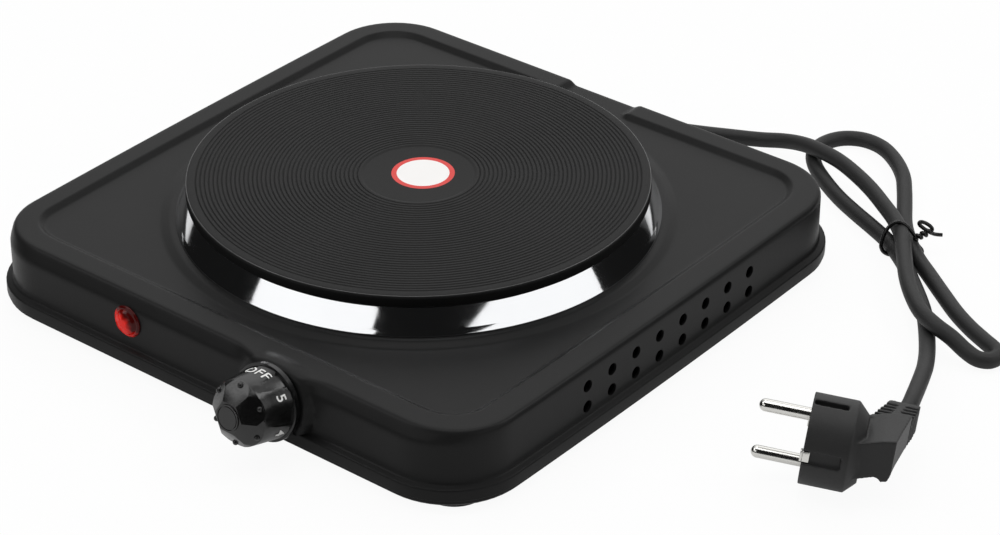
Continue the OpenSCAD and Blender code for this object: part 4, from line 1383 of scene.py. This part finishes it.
@dataclass
class Control(Assembly):
    """The knob with its printed marks."""

    marks: tuple[str, ...] = ("OFF", "5", "4", "3", "2", "1")
    first_mark: float = -4.0
    mark_at: float = 11.4
    mark_size: float = 6.3
    mark_lift: float = 0.12
    # The radius that the marks are wrapped round, and how much the slope of the skirt shortens them
    wrap_r: float = 14.0
    shorten: float = 0.92

    def knob(self) -> Piece:
        """Softens the knob's edges as its mould does.

        Returns:
            The knob.
        """
        knob = Modeller.copy_solid(self.nodes["knob"], "fluted_knob")
        skirt = [(9.0, 6.6), (14.1, 6.6), (12.68, 20.3), (9.0, 20.3), (9.0, 6.6)]
        band = Modeller.lathe("knob_band", skirt, self.body.control(), 96, tail=True)
        Modeller.finish_with(knob, "BOOLEAN", operation="UNION", solver="EXACT", object=band)
        bpy.data.objects.remove(band)
        line = [(4.35, 26.6), (4.7, 26.6), (4.7, 28.0), (4.35, 28.0), (4.35, 26.6)]
        Modeller.cut(knob, [Modeller.lathe("disc_groove", line, self.body.control(), 96, tail=True)])
        Modeller.soften(knob, 0.22, 20)
        self.own(knob, "control", Coat.BAKELITE, "knob")
        return knob

    def reach(self, knob: Piece) -> Callable[[float, float], float]:
        """Gives a measure of the knob's own skirt.

        Args:
            knob: The softened knob.

        Returns:
            A function of the angle from the top, in radians, and the distance along the shaft,
            which finds the skirt's radius there in millimetres.
        """
        place = self.body.control()
        tree = BVHTree.FromObject(knob, bpy.context.evaluated_depsgraph_get())

        def radius(turn: float, out: float) -> float:
            """The skirt's radius, met from outside.

            Args:
                turn: The angle from the top, in radians.
                out: Millimetres along the shaft.

            Returns:
                The radius there.
            """
            way = Vector((math.sin(turn), math.cos(turn), 0.0))
            start = place @ (way * 25 + Vector((0, 0, out)))
            met = tree.ray_cast(start * MM, (place @ Vector((0, 0, out)) - start).normalized())[0]
            return ((place.inverted() @ (met / MM)) - Vector((0, 0, out))).length if met else 13.0

        return radius

    def mark(self, words: str, turn: float, skirt: Callable[[float, float], float]) -> Piece:
        """Prints one mark on the skirt, its top towards the panel.

        Args:
            words: The mark.
            turn: Its middle's angle from the top, in degrees clockwise.
            skirt: Finds the knob's radius, as reach() gives it.

        Returns:
            The printed mark as a thin piece.
        """
        Modeller.deselect()
        bpy.ops.object.text_add(location=(0, 0, 0))
        text = bpy.context.object
        text.data.body = words
        text.data.size = self.mark_size
        text.data.align_x = "CENTER"
        text.data.align_y = "CENTER"
        text.data.extrude = 0.06
        text.data.offset = 0.06
        text.data.space_character = 1.1
        bpy.ops.object.convert(target="MESH")
        text.name = "mark_" + words.lower()
        bpy.ops.object.mode_set(mode="EDIT")
        for k in range(-14, 15):
            bpy.ops.mesh.select_all(action="SELECT")
            bpy.ops.mesh.bisect(plane_co=(k * 0.5, 0, 0), plane_no=(1, 0, 0))
        bpy.ops.object.mode_set(mode="OBJECT")
        place = self.body.control()
        for vert in text.data.vertices:
            angle = math.radians(turn) + vert.co.x / self.wrap_r
            out = self.mark_at - vert.co.y * self.shorten
            radius = skirt(angle, out) + self.mark_lift + vert.co.z
            vert.co = (place @ Vector((radius * math.sin(angle), radius * math.cos(angle), out))) * MM
        return self.own(text, "control", Coat.WHITE_INK)

    def build(self) -> None:
        """Builds the control's visible pieces."""
        skirt = self.reach(self.knob())
        for i, words in enumerate(self.marks):
            self.mark(words, self.first_mark + 60 * i, skirt)


@dataclass
class PilotLamp(Assembly):
    """The red lens in the front wall."""

    lens_r: float = 6.35
    facets: int = 9

    def lens(self) -> Piece:
        """Moulds the lens: a thin clear rim round a dome with pressed facets.

        Returns:
            The lens.
        """
        place = self.body.lamp()
        profile = filleted(
            [
                (0.0, 3.5),
                (2.3, 3.3, 1.0),
                (4.6, 2.35, 1.0),
                (5.35, 1.15, 0.3),
                (6.0, 1.1, 0.3),
                (self.lens_r + 0.25, 0.55, 0.3),
                (self.lens_r + 0.25, 0.05, 0.1),
                (self.lens_r - 0.35, 0.05),
                (self.lens_r - 0.35, -3.0),
                (0.0, -3.0),
            ],
            4,
        )
        lens = Modeller.lathe("domed_lens", profile, place, 72)
        back = place.inverted()
        for vert in lens.data.vertices:
            spot = back @ (vert.co / MM)
            radius = math.hypot(spot.x, spot.y)
            if spot.z > 1.2 and radius > 0.4:
                wave = abs(math.sin(self.facets * math.atan2(spot.y, spot.x) / 2))
                spot.z -= 0.14 * (1 - wave) * smoothstep(0.4, 2.2, radius) * (1 - smoothstep(4.2, 5.3, radius))
            vert.co = (place @ spot) * MM
        return self.own(lens, "appliance", Coat.RED_LENS, "lamp_lens")

    def build(self) -> None:
        """Builds the lamp's visible piece."""
        self.lens()


# ---- Everything else ----


SLOT_COATS = {
    "casing_black": Coat.POWDER_BLACK,
    "foot_rubber": Coat.RUBBER,
    "zinc_steel": Coat.ZINC,
    "plate_iron": Coat.PLATE_IRON,
    "coil_steel": Coat.COIL,
    "ceramic": Coat.CERAMIC,
    "ring_chrome": Coat.CHROME,
    "label_white": Coat.LABEL,
    "reflector_aluminium": Coat.ALUMINIUM,
    "brass": Coat.BRASS,
    "knob_black": Coat.BAKELITE,
    "lens_red": Coat.RED_LENS,
    "holder_white": Coat.NYLON,
    "bulb_glass": Coat.GLASS,
    "cord_black": Coat.PLUG_PVC,
    "pin_nickel": Coat.NICKEL,
    "clip_nickel": Coat.NICKEL,
    "wire_brown": Coat.BROWN,
    "wire_blue": Coat.BLUE,
    "wire_green": Coat.GREEN,
    "wire_white": Coat.WHITE_GLASS,
}


def dress_nodes(frame: dict, paints: Paints) -> None:
    """Gives every CAD node the finish of its material slot.

    Args:
        paints: The finishes.
    """
    for part in frame["record"]["subparts"]:
        name = part.get("node") or part.get("name")
        paints.put(frame["nodes"][name], SLOT_COATS[part["material_slot"]])


def main() -> None:
    """Builds the scene in order and reports each piece."""
    logging.basicConfig(level=logging.INFO, format="%(message)s")
    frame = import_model()
    nodes, paints = frame["nodes"], Paints()
    dress_nodes(frame, paints)
    studio = Studio()
    studio.camera()
    MainsLead(nodes, paints).build()
    studio.build()
    Casing(nodes, paints).build()
    Plate(nodes, paints).build()
    Control(nodes, paints).build()
    PilotLamp(nodes, paints).build()


if __name__ == "__main__":
    main()
